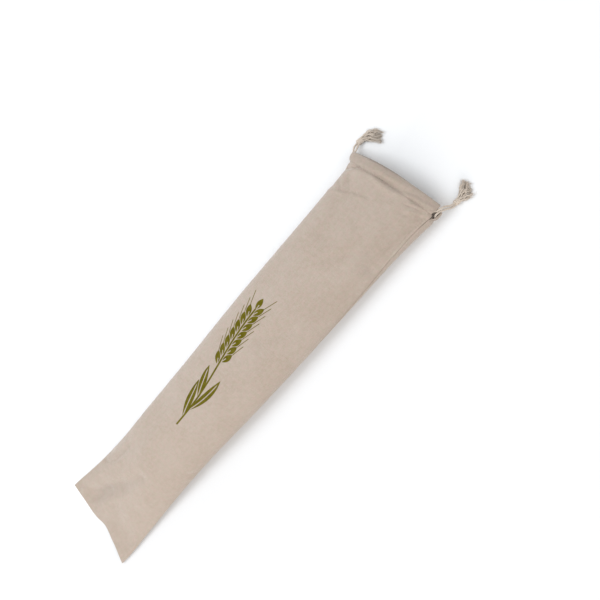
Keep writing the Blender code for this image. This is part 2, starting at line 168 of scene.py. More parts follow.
# Creases and ridges too fine for the solids, across the front panel.
FRONT_CREASES = (
    Fold(316, 65, 329, 52, 2.6, -2.6),  # from the left slit's end into the casing's seam
    Fold(329, 52, 335, 28, 2.2, -1.6),
    Fold(335, 30, 338, 11, 2.5, -3.8),  # deep middle of the casing's crease
    Fold(338, 11, 342, -10, 2.5, -3.6),
    Fold(342, -10, 352, -37, 1.9, -2.4),  # and its run up to the mouth's edge on the right
    Fold(352, -37, 357, -52, 1.6, -2.0),
    Fold(326, 64, 333, 50, 2.4, 0.7),
    Fold(329.5, 30, 330.5, 0, 4.2, 2.0),
    Fold(330.5, 0, 342, -24, 3.6, 1.7),
    Fold(342, 30, 345, 10, 3.4, 1.9),  # the hem swells beside the crease
    Fold(345, 10, 352, -18, 3.4, 1.8),
    Fold(310, 55, 295, 40, 7.0, -1.7),  # slack hollow in the flank, below the casing
    Fold(303, 66, 288, 51, 2.6, -1.2),
    Fold(289, 51, 299, 33, 2.2, -2.0),  # drag line across the flank
    Fold(299, 33, 306, 18, 2.4, -0.9),
    Fold(278, 64, 301, 24, 3.6, 1.1),
    Fold(344, -26, 352, -57, 1.5, 0.6),
    Fold(340, -24, 349, -58, 1.5, -1.0),  # gathers beside the right slit
    Fold(336, -30, 346, -59, 1.5, 0.8),
    Fold(331, -26, 343, -60, 1.6, -1.0),
    Fold(326, -32, 339, -61, 1.8, 0.8),
    Fold(318, -30, 335, -61, 1.9, -0.8),
    Fold(308, -36, 330, -62, 2.4, 0.6),
    Fold(298, -34, 324, -61, 2.6, -0.7),
    Fold(346, 52, 340, 66, 1.6, -0.6),  # gathers beside the left slit
    Fold(342, 50, 334, 68, 1.7, 0.6),
    Fold(330, -56, 288, -53, 10.0, -3.8),  # slack band down the right flank
    Fold(288, -52, 238, -48, 10.0, -4.0),
    Fold(286, -20, 226, -24, 8.0, 0.9),
    Fold(-312, 30, -284, 22, 9.0, -6.6),  # trough across the empty foot
    Fold(-284, 22, -222, 0, 9.5, -4.4),
    Fold(-296, 0, -318, -26, 14.0, -2.4),
    Fold(-254, 56, -236, 44, 2.8, -2.2),  # crease beside the trough
    Fold(-236, 44, -197, 41, 3.0, -2.0),
    Fold(-242, 54, -200, 49, 4.0, 1.8),
    Fold(-290, -22, -250, -30, 9.0, 1.6),
    Fold(-322, 53, -290, 47, 6.0, 1.8),
    Fold(-168, -50, -157, -63, 3.2, -1.0),  # a pucker on the right flank
    Fold(-178, -56, -170, -64, 3.0, 0.6),
    Fold(-330, 52, -312, 66, 3.5, -0.8),
    Fold(-352, -40, -330, -62, 4.0, -0.8),
    Fold(-296, -36, -232, -50, 5.0, 0.7),
    Fold(-336, -8, -282, -18, 5.0, 0.6),
    Fold(-190, 34, -90, 44, 9.0, -1.2),
    Fold(-60, 30, 40, 44, 9.0, -0.9),
    Fold(66, -2, 104, -22, 8.0, -1.6),
    Fold(90, 36, 210, 52, 8.0, -0.8),
    Fold(130, -46, 250, -52, 7.0, -0.7),
    Fold(204, 6, 238, -14, 8.0, -1.4),
    Fold(215, -8, 262, 10, 7.0, 0.6),
    Fold(150, -20, 215, -34, 6.0, 0.6),
    Fold(-40, -44, 60, -50, 6.0, 0.6),
)
# How the cords draw the cloth in or out sideways beside the slits, in plan. Height is along Y.
SLIT_DRAW = (
    Fold(314, 72, 320, 72, 10, -3.2),
    Fold(334, 74, 341, 75, 8, 1.8),
)
HEM_OUTER = (
    HemRow(30.0, 0.0),
    HemRow(24.0, 0.0),
    HemRow(20.0, 0.2),
    HemRow(17.0, 0.9),
    HemRow(14.8, 1.6),
    HemRow(13.0, 0.6),
    HemRow(11.0, -0.3),
    HemRow(9.0, -0.6),
    HemRow(6.0, -0.4),
)
HEM_INNER = (
    HemRow(6.0, 5.4),
    HemRow(9.5, 5.4),
    HemRow(12.5, 5.0),
    HemRow(14.8, 3.6),
    HemRow(17.5, 2.4),
    HemRow(20.0, 1.8),
)
PRINTED_LEAVES = (Leaf(-98, 1, 0.31, 62), Leaf(-84, -1, 0.33, 66), Leaf(-60, 1, 0.30, 50))
LAMPS = (
    Lamp("key_light", (-0.3, 0.75, 1.38), (0.9, 0.8), 14.5, (0.94, 0.97, 1.0)),
    Lamp("fill_light", (-0.65, -1.2, 0.55), (1.6, 0.6), 7.5, (1.0, 0.86, 0.72)),
)


# ---------------------------------------------------------------------------------------------
# Shapes
# ---------------------------------------------------------------------------------------------


class SmoothCurve:
    """A smooth curve through known points."""

    def __init__(self, xs: Sequence[float], ys: Sequence[float]) -> None:
        """Keeps the points and works out the curve's slope at each.

        Args:
            xs: Where the points are, rising.
            ys: The curve's height at each.
        """
        self.xs = np.array(xs, float)
        self.ys = np.array(ys, float)
        self.slopes = np.gradient(self.ys, self.xs)

    def at(self, x: np.ndarray) -> np.ndarray:
        """The curve's height.

        Args:
            x: Where to read it.

        Returns:
            The height at each x.
        """
        x = np.asarray(x, float)
        i = np.clip(np.searchsorted(self.xs, x, side="right") - 1, 0, len(self.xs) - 2)
        span = self.xs[i + 1] - self.xs[i]
        t = (x - self.xs[i]) / span
        rise = self.ys[i + 1] - self.ys[i]
        start, end = self.slopes[i] * span, self.slopes[i + 1] * span
        bulge = 3 * rise - 2 * start - end + t * (start + end - 2 * rise)
        return self.ys[i] + t * (start + t * bulge)


def unit(vectors: np.ndarray) -> np.ndarray:
    """The vectors at a length of 1."""
    return vectors / np.maximum(np.linalg.norm(vectors, axis=-1, keepdims=True), TINY)


def ease(low: float, high: float, values: np.ndarray) -> np.ndarray:
    """A soft step from 0 where the values are low to 1 where they are high."""
    share = np.clip((np.asarray(values, float) - low) / (high - low), 0, 1)
    return share * share * (3 - 2 * share)


def folds_height(folds: Iterable[Fold], x: np.ndarray, y: np.ndarray) -> np.ndarray:
    """How high soft folds raise the cloth.

    Args:
        folds: The folds, in mm.
        x: Places in plan, in metres.
        y: The same places across the bag.

    Returns:
        The height at each place, in metres.
    """
    total = np.zeros(np.broadcast(x, y).shape)
    for one in folds:
        along = np.array((one.x_1 - one.x_0, one.y_1 - one.y_0)) * MM
        off_x, off_y = x - one.x_0 * MM, y - one.y_0 * MM
        share = np.clip((off_x * along[0] + off_y * along[1]) / (along @ along), 0, 1)
        away = np.hypot(off_x - share * along[0], off_y - share * along[1]) / (one.width * MM)
        total += one.height * MM * np.exp(-away * away)
    return total


def creases_height(
    creases: Iterable[Fold], x: np.ndarray, y: np.ndarray, firm: np.ndarray
) -> np.ndarray:
    """How high sharp creases raise the cloth, where those that overlap don't add up.

    Args:
        creases: The creases, in mm.
        x: Places in plan, in metres.
        y: The same places across the bag.
        firm: How much of a trough's depth is held off by what lies under the cloth.

    Returns:
        The height at each place, in metres.
    """
    low = high = np.zeros(np.broadcast(x, y).shape)
    for one in creases:
        height = folds_height((one,), x, y)
        low, high = np.minimum(low, height), np.maximum(high, height)
    return low * (1 - firm) + high


def hem_depth(hem: Sequence[HemRow], back: Union[float, np.ndarray]) -> np.ndarray:
    """How deep the hem lies inside the form.

    Args:
        hem: The hem's rows.
        back: Distances from the mouth's edge.

    Returns:
        The depth at each distance.
    """
    rows = sorted(hem)
    return SmoothCurve([row.back * MM for row in rows], [row.inside * MM for row in rows]).at(back)


def ripples(places: np.ndarray, size: float, seed: float) -> np.ndarray:
    """Smooth uneven values from -1 to 1.

    Args:
        places: Points in metres, with two or three numbers each.
        size: How far apart neighbouring bumps are, in metres.
        seed: Moves the pattern, so that two don't match.

    Returns:
        One value for each place.
    """
    flat = places.reshape(-1, places.shape[-1]) / size
    values = [noise.noise(Vector((p[0], p[1], seed + (p[2] if len(p) > 2 else 0.0)))) for p in flat]
    return np.array(values).reshape(places.shape[:-1])


@dataclass
class BagForm:
    """The closed form that both panels are laid on: a flat bag in its filled shape."""

    length: float = 700 * MM
    cloth: float = 1.0 * MM
    layer_step: float = 1.3 * MM
    under_reach: float = 0.75
    layer_softness: float = 3 * MM
    mouth_bow: float = 4 * MM
    back_proud: float = 3 * MM
    back_short: float = 6 * MM
    mouth_reach: float = 0.12
    short_reach: float = 0.25
    seam_reach: float = 0.07
    seam_lift: float = 2 * MM
    lift_step: float = math.pi / 18
    probe_at: float = 0.004
    probe_turn: float = 0.02
    curves: dict[str, SmoothCurve] = field(init=False)
    bottom_bow: SmoothCurve = field(init=False)

    def __post_init__(self) -> None:
        """Draws a smooth curve through each column of the sections."""
        places = [section.at for section in SECTIONS]
        self.curves = {
            name: SmoothCurve(places, [getattr(section, name) for section in SECTIONS])
            for name in Section._fields[1:]
        }
        self.bottom_bow = SmoothCurve([b.across for b in BOTTOM_BOW], [b.inward for b in BOTTOM_BOW])

    @property
    def floor(self) -> float:
        """The height of the cloth's middle where it lies on the floor."""
        return self.cloth / 2

    def point(self, at: np.ndarray, turn: np.ndarray) -> np.ndarray:
        """The middle of the cloth on the closed form.

        Args:
            at: Places along the bag.
            turn: Angles round it, of a shape that fits with at's.

        Returns:
            Points, with their three coordinates last.
        """
        row = {name: curve.at(at) * MM for name, curve in self.curves.items()}
        from_left = (1 + np.cos(turn)) / 2
        inward = np.abs(np.sin(turn))
        near_seam = np.maximum(0.0, 1 - at / self.seam_reach)
        near_mouth = np.maximum(0.0, 1 - (1 - at) / self.mouth_reach)
        mouth_bow = self.mouth_bow + np.where(turn < 0, self.back_proud, 0.0)
        bows = self.bottom_bow.at(from_left) * MM * near_seam
        bows = bows + mouth_bow * near_mouth**2 * inward**2
        x = row["left_x"] + (row["right_x"] - row["left_x"]) * from_left + bows
        y = row["left_y"] + (row["right_y"] - row["left_y"]) * from_left
        y = y + folds_height(SLIT_DRAW, x, y)
        side_z = row["left_z"] + (row["right_z"] - row["left_z"]) * from_left
        off_floor = self.seam_lift * inward**2 * near_seam**2
        inner_share = np.maximum(0.0, 1 - inward / self.under_reach)
        under = self.floor + off_floor + (side_z - self.floor) * inner_share**2
        arch = inward ** (2 * row["flank"] / MM)
        over = side_z + (row["crown"] - side_z) * arch + off_floor
        over = over + folds_height(BROAD_FOLDS, x, y) * inward
        softness = self.layer_softness * inward * np.minimum(1.0, at / self.seam_reach)
        gap = over - under
        top = under + (gap + np.sqrt(gap * gap + softness * softness)) / 2
        z = np.where(np.sin(turn) < 0, under, top)
        return np.stack(np.broadcast_arrays(x, y, z), axis=-1)

    def inward(self, at: np.ndarray, turn: np.ndarray) -> np.ndarray:
        """The way into the bag, square to its form.

        Args:
            at: Places along the bag.
            turn: Angles round it.

        Returns:
            A unit vector for each place.
        """
        low, high = np.maximum(0.0, at - self.probe_at), np.minimum(1.0, at + self.probe_at)
        along = self.point(high, turn) - self.point(low, turn)
        around = self.point(at, turn + self.probe_turn) - self.point(at, turn - self.probe_turn)
        return unit(np.cross(around, along))

    def seam_turn(self, side: Side, at: np.ndarray) -> np.ndarray:
        """The angle of a side seam.

        Args:
            side: Which seam.
            at: Places along the bag.

        Returns:
            The angle at each place.
        """
        if side is Side.LEFT:
            return np.full(at.shape, math.pi)
        return np.radians(self.curves["roll"].at(at))

    def closed(self, side: Side, at: np.ndarray) -> np.ndarray:
        """How nearly the two panels lie together at a seam.

        Args:
            side: Which seam.
            at: Places along the bag.

        Returns:
            1 where they lie as layers and 0 where the form is round.
        """
        turn = self.seam_turn(side, at)
        to_front = self.lift_step * (1 if side is Side.RIGHT else -1)
        here = self.point(at, turn)
        front = unit(self.point(at, turn + to_front) - here)
        back = unit(self.point(at, turn - to_front) - here)
        return np.sqrt(np.maximum(0.0, (1 + (front * back).sum(-1)) / 2))

    def back_place(self, at: np.ndarray, turn: np.ndarray) -> np.ndarray:
        """Where the back panel lies, which is drawn back towards its right corner.

        Args:
            at: Places along the bag.
            turn: Angles round it.

        Returns:
            The place along the bag that each one has moved to.
        """
        near_mouth = np.maximum(0.0, 1 - (1 - at) / self.short_reach)
        return at - self.back_short / self.length * (near_mouth * (1 + np.cos(turn)) / 2) ** 2


class Arcs:
    """Distances round the form in some rows, from one angle to another."""

    SAMPLES = 900

    def __init__(self, form: BagForm, at: np.ndarray, start: np.ndarray, end: np.ndarray) -> None:
        """Measures each row.

        Args:
            form: The bag's form.
            at: The rows' places along the bag.
            start: The angle at which each row starts.
            end: The angle at which it ends.
        """
        shares = np.linspace(0, 1, self.SAMPLES)
        self.turns = start[:, None] + (end - start)[:, None] * shares
        points = form.point(at[:, None], self.turns)
        steps = np.linalg.norm(np.diff(points, axis=1), axis=-1)
        self.lengths = np.concatenate([np.zeros((len(at), 1)), np.cumsum(steps, axis=1)], axis=1)

    @property
    def total(self) -> np.ndarray:
        """The length of each row."""
        return self.lengths[:, -1]

    def turn_at(self, distances: np.ndarray) -> np.ndarray:
        """The angles at distances from the rows' starts, one line of distances for each row."""
        rows = zip(distances, self.lengths, self.turns)
        return np.stack([np.interp(distance, length, turn) for distance, length, turn in rows])


def frames_along(line: np.ndarray) -> tuple[np.ndarray, np.ndarray]:
    """Directions square to a line, which don't turn about it.

    Args:
        line: The line's points.

    Returns:
        Two unit vectors, square to each other, at each point.
    """
    tangents = unit(np.gradient(line, axis=0))
    side = np.cross(tangents[0], UP)
    if np.linalg.norm(side) < NEARLY_UPRIGHT:
        side = np.cross(tangents[0], (0.0, 1.0, 0.0))
    across = np.empty_like(line)
    for i, tangent in enumerate(tangents):
        side = side - tangent * (side @ tangent)
        side = side / np.linalg.norm(side)
        across[i] = side
    return across, np.cross(tangents, across)


def lengths_along(line: np.ndarray) -> np.ndarray:
    """The distance along a line to each of its points."""
    return np.concatenate([[0.0], np.cumsum(np.linalg.norm(np.diff(line, axis=0), axis=1))])


def grid_quads(index: np.ndarray) -> np.ndarray:
    """The faces of a grid of points.

    Args:
        index: The points' numbers, rows first.

    Returns:
        The four corners of each face.
    """
    corners = [index[:-1, :-1], index[1:, :-1], index[1:, 1:], index[:-1, 1:]]
    return np.stack(corners, axis=-1).reshape(-1, 4)


class Tubes:
    """Round strands gathered into one mesh, with a UV of metres along and share of the way round."""

    def __init__(self) -> None:
        """Starts with no strand."""
        self.points: list[np.ndarray] = []
        self.faces: list[np.ndarray] = []
        self.uvs: list[np.ndarray] = []
        self.count = 0

    def add(self, line: np.ndarray, radius: Union[float, np.ndarray], sides: int) -> None:
        """Adds one strand.

        Args:
            line: The points of its middle.
            radius: Its radius, or one at each point.
            sides: How many sides it has.
        """
        across, other = frames_along(line)
        angles = np.linspace(0, 2 * math.pi, sides, endpoint=False)
        reach = np.broadcast_to(radius, len(line))[:, None, None]
        ring = across[:, None] * np.cos(angles)[:, None] + other[:, None] * np.sin(angles)[:, None]
        points = (line[:, None] + ring * reach).reshape(-1, 3)
        index = np.arange(len(line) * sides).reshape(len(line), sides)
        beside = np.roll(index, -1, axis=1)
        quads = np.stack([index[:-1], beside[:-1], beside[1:], index[1:]], axis=-1).reshape(-1, 4)
        length = lengths_along(line)
        along = np.repeat(length, sides).reshape(len(line), sides)
        shares = np.broadcast_to(np.arange(sides) / sides, along.shape)
        corners = [(slice(None, -1), 0), (slice(None, -1), 1), (slice(1, None), 1), (slice(1, None), 0)]
        uv = [np.stack([along[rows], shares[rows] + shift / sides], axis=-1) for rows, shift in corners]
        tips = np.array([line[0], line[-1]])
        first, last = self.count + len(points), self.count + len(points) + 1
        start = [(first, b, a) for a, b in zip(index[0], beside[0])]
        end = [(last, a, b) for a, b in zip(index[-1], beside[-1])]
        caps = np.array([(a, b + self.count, c + self.count) for a, b, c in start + end])
        self.points += [points, tips]
        self.faces += [quads + self.count, caps]
        self.uvs += [np.stack(uv, axis=2).reshape(-1, 2), np.zeros((len(caps) * 3, 2))]
        self.count += len(points) + 2

    def build(self, name: str, finish: "Finish") -> bpy.types.Object:
        """Joins the strands into one object.

        Args:
            name: The object's name.
            finish: What it is finished in.

        Returns:
            The object.
        """
        mesh = bpy.data.meshes.new(name)
        faces = [face for group in self.faces for face in group.tolist()]
        mesh.from_pydata(np.concatenate(self.points).tolist(), [], faces)
        layer = mesh.uv_layers.new(name="cloth")
        layer.data.foreach_set("uv", np.concatenate(self.uvs).ravel())
        return shown(name, mesh, finish)


def shown(name: str, mesh: bpy.types.Mesh, finish: "Finish") -> bpy.types.Object:
    """A new smooth object that rides with the bag.

    Args:
        name: Its name.
        mesh: Its mesh.
        finish: What it is finished in.

    Returns:
        The object, linked to the scene.
    """
    mesh.validate()
    mesh.shade_smooth()
    mesh.materials.append(finish.material)
    piece = bpy.data.objects.new(name, mesh)
    bpy.context.scene.collection.objects.link(piece)
    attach(piece, "root")
    return piece


def route_through(points: np.ndarray, step: float) -> np.ndarray:
    """One smooth curve through some points.

    Args:
        points: The points.
        step: How far apart the curve's own points are.

    Returns:
        The curve's points, at even steps.
    """
    lengths = lengths_along(points)
    places = np.linspace(0, lengths[-1], int(lengths[-1] / step) + 1)
    return np.stack([SmoothCurve(lengths, points[:, axis]).at(places) for axis in range(3)], axis=-1)


def off_floor(line: np.ndarray, radius: Union[float, np.ndarray], gap: float) -> np.ndarray:
    """A strand's line, lifted where it would pass through the floor.

    Args:
        line: The points of its middle.
        radius: Its radius, or one at each point.
        gap: How far it stays off the floor.

    Returns:
        The lifted points.
    """
    return np.column_stack([line[:, :2], np.maximum(line[:, 2], radius + gap)])


def wound(line: np.ndarray, reach: Union[float, np.ndarray], pitch: float, phase: float) -> np.ndarray:
    """A helix round a line.

    Args:
        line: The points of the line.
        reach: How far the helix is from it, or one distance at each point.
        pitch: The length of one turn.
        phase: Where the helix starts, as a share of a turn.

    Returns:
        The helix's points, one for each of the line's.
    """
    across, other = frames_along(line)
    length = lengths_along(line)
    angle = 2 * math.pi * (length / pitch + phase)
    reach = np.broadcast_to(reach, len(line))[:, None]
    return line + reach * (across * np.cos(angle)[:, None] + other * np.sin(angle)[:, None])


# ---------------------------------------------------------------------------------------------
# Finishes
# ---------------------------------------------------------------------------------------------

Number = Union["Value", float]


class Value:
    """A number that varies over a surface, read from a node's socket."""

    def __init__(self, graph: "Graph", socket: bpy.types.NodeSocket) -> None:
        """Keeps the socket.

        Args:
            graph: The material's nodes.
            socket: Where the number comes out.
        """
        self.graph = graph
        self.socket = socket

    def __add__(self, other: Number) -> "Value":
        """The sum."""
        return self.graph.math("ADD", self, other)

    def __sub__(self, other: Number) -> "Value":
        """The difference."""
        return self.graph.math("SUBTRACT", self, other)

    def __rsub__(self, other: Number) -> "Value":
        """The difference from a plain number."""
        return self.graph.math("SUBTRACT", other, self)

    def __mul__(self, other: Number) -> "Value":
        """The product."""
        return self.graph.math("MULTIPLY", self, other)

    def __truediv__(self, other: Number) -> "Value":
        """The quotient."""
        return self.graph.math("DIVIDE", self, other)

    def __abs__(self) -> "Value":
        """The size, without its sign."""
        return self.graph.math("ABSOLUTE", self)

    def of(self, operation: str, *others: Number) -> "Value":
        """The outcome of a named operation on this number."""
        return self.graph.math(operation, self, *others)

    def soft(self, low: float, high: float) -> "Value":
        """A soft step up, or down where low is the greater.

        Args:
            low: Where the step is 0.
            high: Where it is 1.

        Returns:
            The step's height.
        """
        ramp = self.graph.node("ShaderNodeMapRange", interpolation_type="SMOOTHSTEP")
        self.graph.set(ramp.inputs["Value"], self)
        low_to, high_to = (0.0, 1.0) if low < high else (1.0, 0.0)
        ramp.inputs["From Min"].default_value = min(low, high)
        ramp.inputs["From Max"].default_value = max(low, high)
        ramp.inputs["To Min"].default_value = low_to
        ramp.inputs["To Max"].default_value = high_to
        return Value(self.graph, ramp.outputs["Result"])


class Graph:
    """The nodes of one material."""

    def __init__(self, name: str, color: Color, roughness: float, specular: float) -> None:
        """Starts a material from its plain shader.

        Args:
            name: The material's name.
            color: Its plain colour.
            roughness: Its roughness.
            specular: How strongly it mirrors light.
        """
        self.material = bpy.data.materials.new(name)
        self.material.use_nodes = True
        self.material.diffuse_color = (*color, 1)
        self.tree = self.material.node_tree
        self.shader = self.tree.nodes["Principled BSDF"]
        self.shader.inputs["Base Color"].default_value = (*color, 1)
        self.shader.inputs["Roughness"].default_value = roughness
        self.shader.inputs["Specular IOR Level"].default_value = specular

    def sheen(self, weight: float, roughness: float) -> None:
        """Gives the surface the soft bloom of fine fibres.

        Args:
            weight: How strong it is.
            roughness: How widely it spreads.
        """
        self.shader.inputs["Sheen Weight"].default_value = weight
        self.shader.inputs["Sheen Roughness"].default_value = roughness

    def node(self, kind: str, **settings: object) -> bpy.types.Node:
        """A new node.

        Args:
            kind: Its type.
            **settings: Its settings, by name.

        Returns:
            The node.
        """
        made = self.tree.nodes.new(kind)
        for name, value in settings.items():
            setattr(made, name, value)
        return made

    def set(self, socket: bpy.types.NodeSocket, value: Number) -> None:
        """Sets an input.

        Args:
            socket: The input.
            value: A varying number, which is linked to it, or a plain one.
        """
        if isinstance(value, Value):
            self.tree.links.new(value.socket, socket)
        else:
            socket.default_value = value

    def math(self, operation: str, *values: Number) -> Value:
        """An operation on numbers.

        Args:
            operation: Its name.
            *values: The numbers, in order.

        Returns:
            The outcome.
        """
        made = self.node("ShaderNodeMath", operation=operation)
        for socket, value in zip(made.inputs, values):
            self.set(socket, value)
        return Value(self, made.outputs[0])

    def cloth_place(self) -> tuple[Value, Value]:
        """The place on a piece's own cloth or yarn.

        Returns:
            Both numbers of its UV map, in mm where the map is in metres.
        """
        uv = self.node("ShaderNodeUVMap", uv_map="cloth")
        apart = self.node("ShaderNodeSeparateXYZ")
        self.tree.links.new(uv.outputs[0], apart.inputs[0])
        return Value(self, apart.outputs[0]) * 1000, Value(self, apart.outputs[1]) * 1000

    def noise(self, x: Number, y: Number, z: Number = 0.0, detail: float = 2.0) -> Value:
        """Smooth uneven values about 0.5, whose bumps are about 1 apart.

        Args:
            x: The place's first number.
            y: Its second.
            z: Its third, which also sets one pattern apart from another.
            detail: How fine the smallest bumps are.

        Returns:
            The value at the place.
        """
        place = self.node("ShaderNodeCombineXYZ")
        for socket, value in zip(place.inputs, (x, y, z)):
            self.set(socket, value)
        made = self.node("ShaderNodeTexNoise")
        made.inputs["Scale"].default_value = 1.0
        made.inputs["Detail"].default_value = detail
        self.tree.links.new(place.outputs[0], made.inputs["Vector"])
        return Value(self, made.outputs["Fac"])

    def mix(self, share: Value, low: Union[Color, Value], high: Union[Color, Value]) -> Value:
        """A colour between two, by a share.

        Args:
            share: 0 for the first colour and 1 for the second.
            low: The first colour, or a socket that holds it.
            high: The second.

        Returns:
            The mixed colour.
        """
        made = self.node("ShaderNodeMix", data_type="RGBA")
        self.set(made.inputs[0], share)
        for socket, color in zip((made.inputs[6], made.inputs[7]), (low, high)):
            self.set(socket, color if isinstance(color, Value) else (*color, 1))
        return Value(self, made.outputs[2])

    def bump(self, height: Value, distance: float) -> None:
        """Gives the surface a fine relief.

        Args:
            height: Its height, in shares of distance.
            distance: The height of a full share, in metres.
        """
        made = self.node("ShaderNodeBump")
        made.inputs["Strength"].default_value = 1.0
        made.inputs["Distance"].default_value = distance
        self.set(made.inputs["Height"], height)
        self.tree.links.new(made.outputs[0], self.shader.inputs["Normal"])

    def paint(self, color: Value) -> None:
        """Gives the surface its colour."""
        self.tree.links.new(color.socket, self.shader.inputs["Base Color"])


@dataclass(frozen=True)
class Mottle:
    """Soft uneven patches: their size in mm, their pattern, and what reads as 0 and as 1."""

    across: float
    along: float
    pattern: float
    detail: float
    low: float
    high: float

    def on(self, graph: Graph, across: Value, along: Value) -> Value:
        """The patches.

        Args:
            graph: The material's nodes.
            across: The place across the cloth, in mm.
            along: The place along it.

        Returns:
            Their value there, from 0 to 1.
        """
        across, along = across / self.across, along / self.along
        return graph.noise(across, along, self.pattern, detail=self.detail).soft(self.low, self.high)


@dataclass(frozen=True)
class Finish:
    """What a piece is finished in: a material and the record's slot that it belongs to."""

    material: bpy.types.Material
    slot: Slot


@dataclass(frozen=True)
class SprigPrint:
    """A printed ear of wheat on its stem, with its leaves. Sizes in mm, on the flat cloth."""

    centre_across: float = 22.0
    centre_along: float = 350.0
    turned: float = math.radians(5.2)
    ink: Color = (0.108, 0.090, 0.001)
    worn_ink: Color = (0.140, 0.118, 0.008)
    patches: Mottle = Mottle(8, 8, 14, 2, 0.35, 0.65)
    gaps: Mottle = Mottle(0.8, 0.8, 5, 1, 0.22, 0.40)
    wear: float = 0.06
    stem_half_width: float = 1.25
    stem_foot: float = -112.0
    stem_top: float = 94.0
    stem_sway: float = 2.6
    pairs: int = 7
    grain_pitch: float = 13.2
    grain_half_length: float = 9.6
    grain_half_width: float = 4.3
    grain_out: float = 6.6
    grain_tilt: float = 0.42
    nick_aside: float = 0.9
    nick_from: float = -0.5
    nick_half_width: float = 0.575
    top_grain: float = 102.0
    awn_start: float = 8.0
    awn_out: float = 10.4
    awn_slope: float = 0.35
    awn_half_width: float = 0.51
    awn_length: float = 21.0
    leaf_half_width: float = 5.6
    leaf_droop: float = 0.0016
    edge: float = 0.4

    def over(self, graph: Graph, cloth: Value, across: Value, along: Value) -> Value:
        """Prints the design on the cloth.

        Args:
            graph: The material's nodes.
            cloth: The cloth's own colour.
            across: The place across the cloth, in mm.
            along: The place along it.

        Returns:
            The colour with the ink.
        """
        taken = self.gaps.on(graph, across, along) * self.wear + (1 - self.wear)
        ink = graph.mix(self.patches.on(graph, across, along), self.ink, self.worn_ink)
        return graph.mix(self.mask(across, along) * taken, cloth, ink)

    def mask(self, across: Value, along: Value) -> Value:
        """How much ink lies at a place.

        Args:
            across: The place across the cloth.
            along: The place along it.

        Returns:
            0 for bare cloth and 1 for full ink.
        """
        off_x, off_y = across - self.centre_across, along - self.centre_along
        cosine, sine = math.cos(self.turned), math.sin(self.turned)
        p = off_x * sine + off_y * cosine
        q = off_x * cosine - off_y * sine - (p / 36).of("SINE") * self.stem_sway
        stem = abs(q).soft(self.stem_half_width + 0.2, self.stem_half_width - 0.2)
        stem = stem * p.soft(self.stem_foot - 1, self.stem_foot + 1)
        stem = stem * p.soft(self.stem_top + 2, self.stem_top - 2)
        ink = stem.of("MAXIMUM", self.ear(p, q))
        for leaf in PRINTED_LEAVES:
            ink = ink.of("MAXIMUM", self.leaf(leaf, p - leaf.foot, q * leaf.side))
        return ink

    def oval(self, p: Value, q: Value, tilt: float) -> Value:
        """A pointed grain with a bare nick, tilted away from the stem.

        Args:
            p: The place along the stem, from the grain's middle.
            q: The place across it.
            tilt: The grain's angle with the stem.

        Returns:
            Its ink.
        """
        long_way = p * math.cos(tilt) + q * math.sin(tilt)
        short_way = q * math.cos(tilt) - p * math.sin(tilt)
        share = (long_way / self.grain_half_length).of("POWER", 2.0)
        width = (1 - share).of("MAXIMUM", 0.0) * self.grain_half_width
        outline = (width - abs(short_way)).soft(0.0, self.edge)
        past_nick = long_way.soft(self.nick_from - 1, self.nick_from + 1) * 9
        nick = abs(short_way + self.nick_aside) + past_nick
        return outline * nick.soft(self.nick_half_width - 0.175, self.nick_half_width + 0.175)

    def ear(self, p: Value, q: Value) -> Value:
        """The ear: grains in pairs up both sides of the stem, and their awns.

        Args:
            p: The place along the stem.
            q: The place across it.

        Returns:
            The ear's ink.
        """
        side = q.of("GREATER_THAN", 0.0)
        step = (p + side * (self.grain_pitch / 2)) / self.grain_pitch
        cell = step.of("FLOOR")
        local = (step - cell) * self.grain_pitch
        out = abs(q)
        ink = self.oval(p - self.top_grain, q, 0.0)
        for shift in (0, 1):
            grain = self.oval(local - shift * self.grain_pitch, out - self.grain_out, self.grain_tilt)
            ink = ink.of("MAXIMUM", grain * self.within(cell + shift))
        for shift in (0, -1, -2):
            run = local - shift * self.grain_pitch - self.awn_start
            off = abs(out - self.awn_out - run * self.awn_slope)
            line = off.soft(self.awn_half_width + 0.15, self.awn_half_width - 0.15) * run.soft(0, 0.6)
            awn = line * run.soft(self.awn_length, self.awn_length - 2)
            ink = ink.of("MAXIMUM", awn * self.within(cell + shift))
        return ink

    def within(self, number: Value) -> Value:
        """1 where a grain's number is one of the ear's pairs, and 0 elsewhere."""
        return number.of("GREATER_THAN", 0.5) * number.of("LESS_THAN", self.pairs + 0.5)

    def leaf(self, leaf: Leaf, p: Value, q: Value) -> Value:
        """A lance leaf that leaves the stem and bends along it.

        Args:
            leaf: The leaf.
            p: The place along the stem, from the leaf's foot.
            q: The place across it, on the leaf's side.

        Returns:
            The leaf's ink, with an unprinted rib along its middle.
        """
        share = (p / leaf.length).of("MAXIMUM", 0.0).of("MINIMUM", 1.0)
        middle = p * leaf.slope - p * p * self.leaf_droop
        width = (share * math.pi).of("SINE").of("MAXIMUM", 0.0).of("POWER", 0.85) * self.leaf_half_width
        off = abs(q - middle)
        rib = off.soft(0.50, 0.85).of("MAXIMUM", share.soft(0.80, 0.90))
        blade = (width - off).soft(0.0, self.edge) * rib
        return blade * p.soft(0.0, 0.5) * p.soft(leaf.length, leaf.length - 0.5)


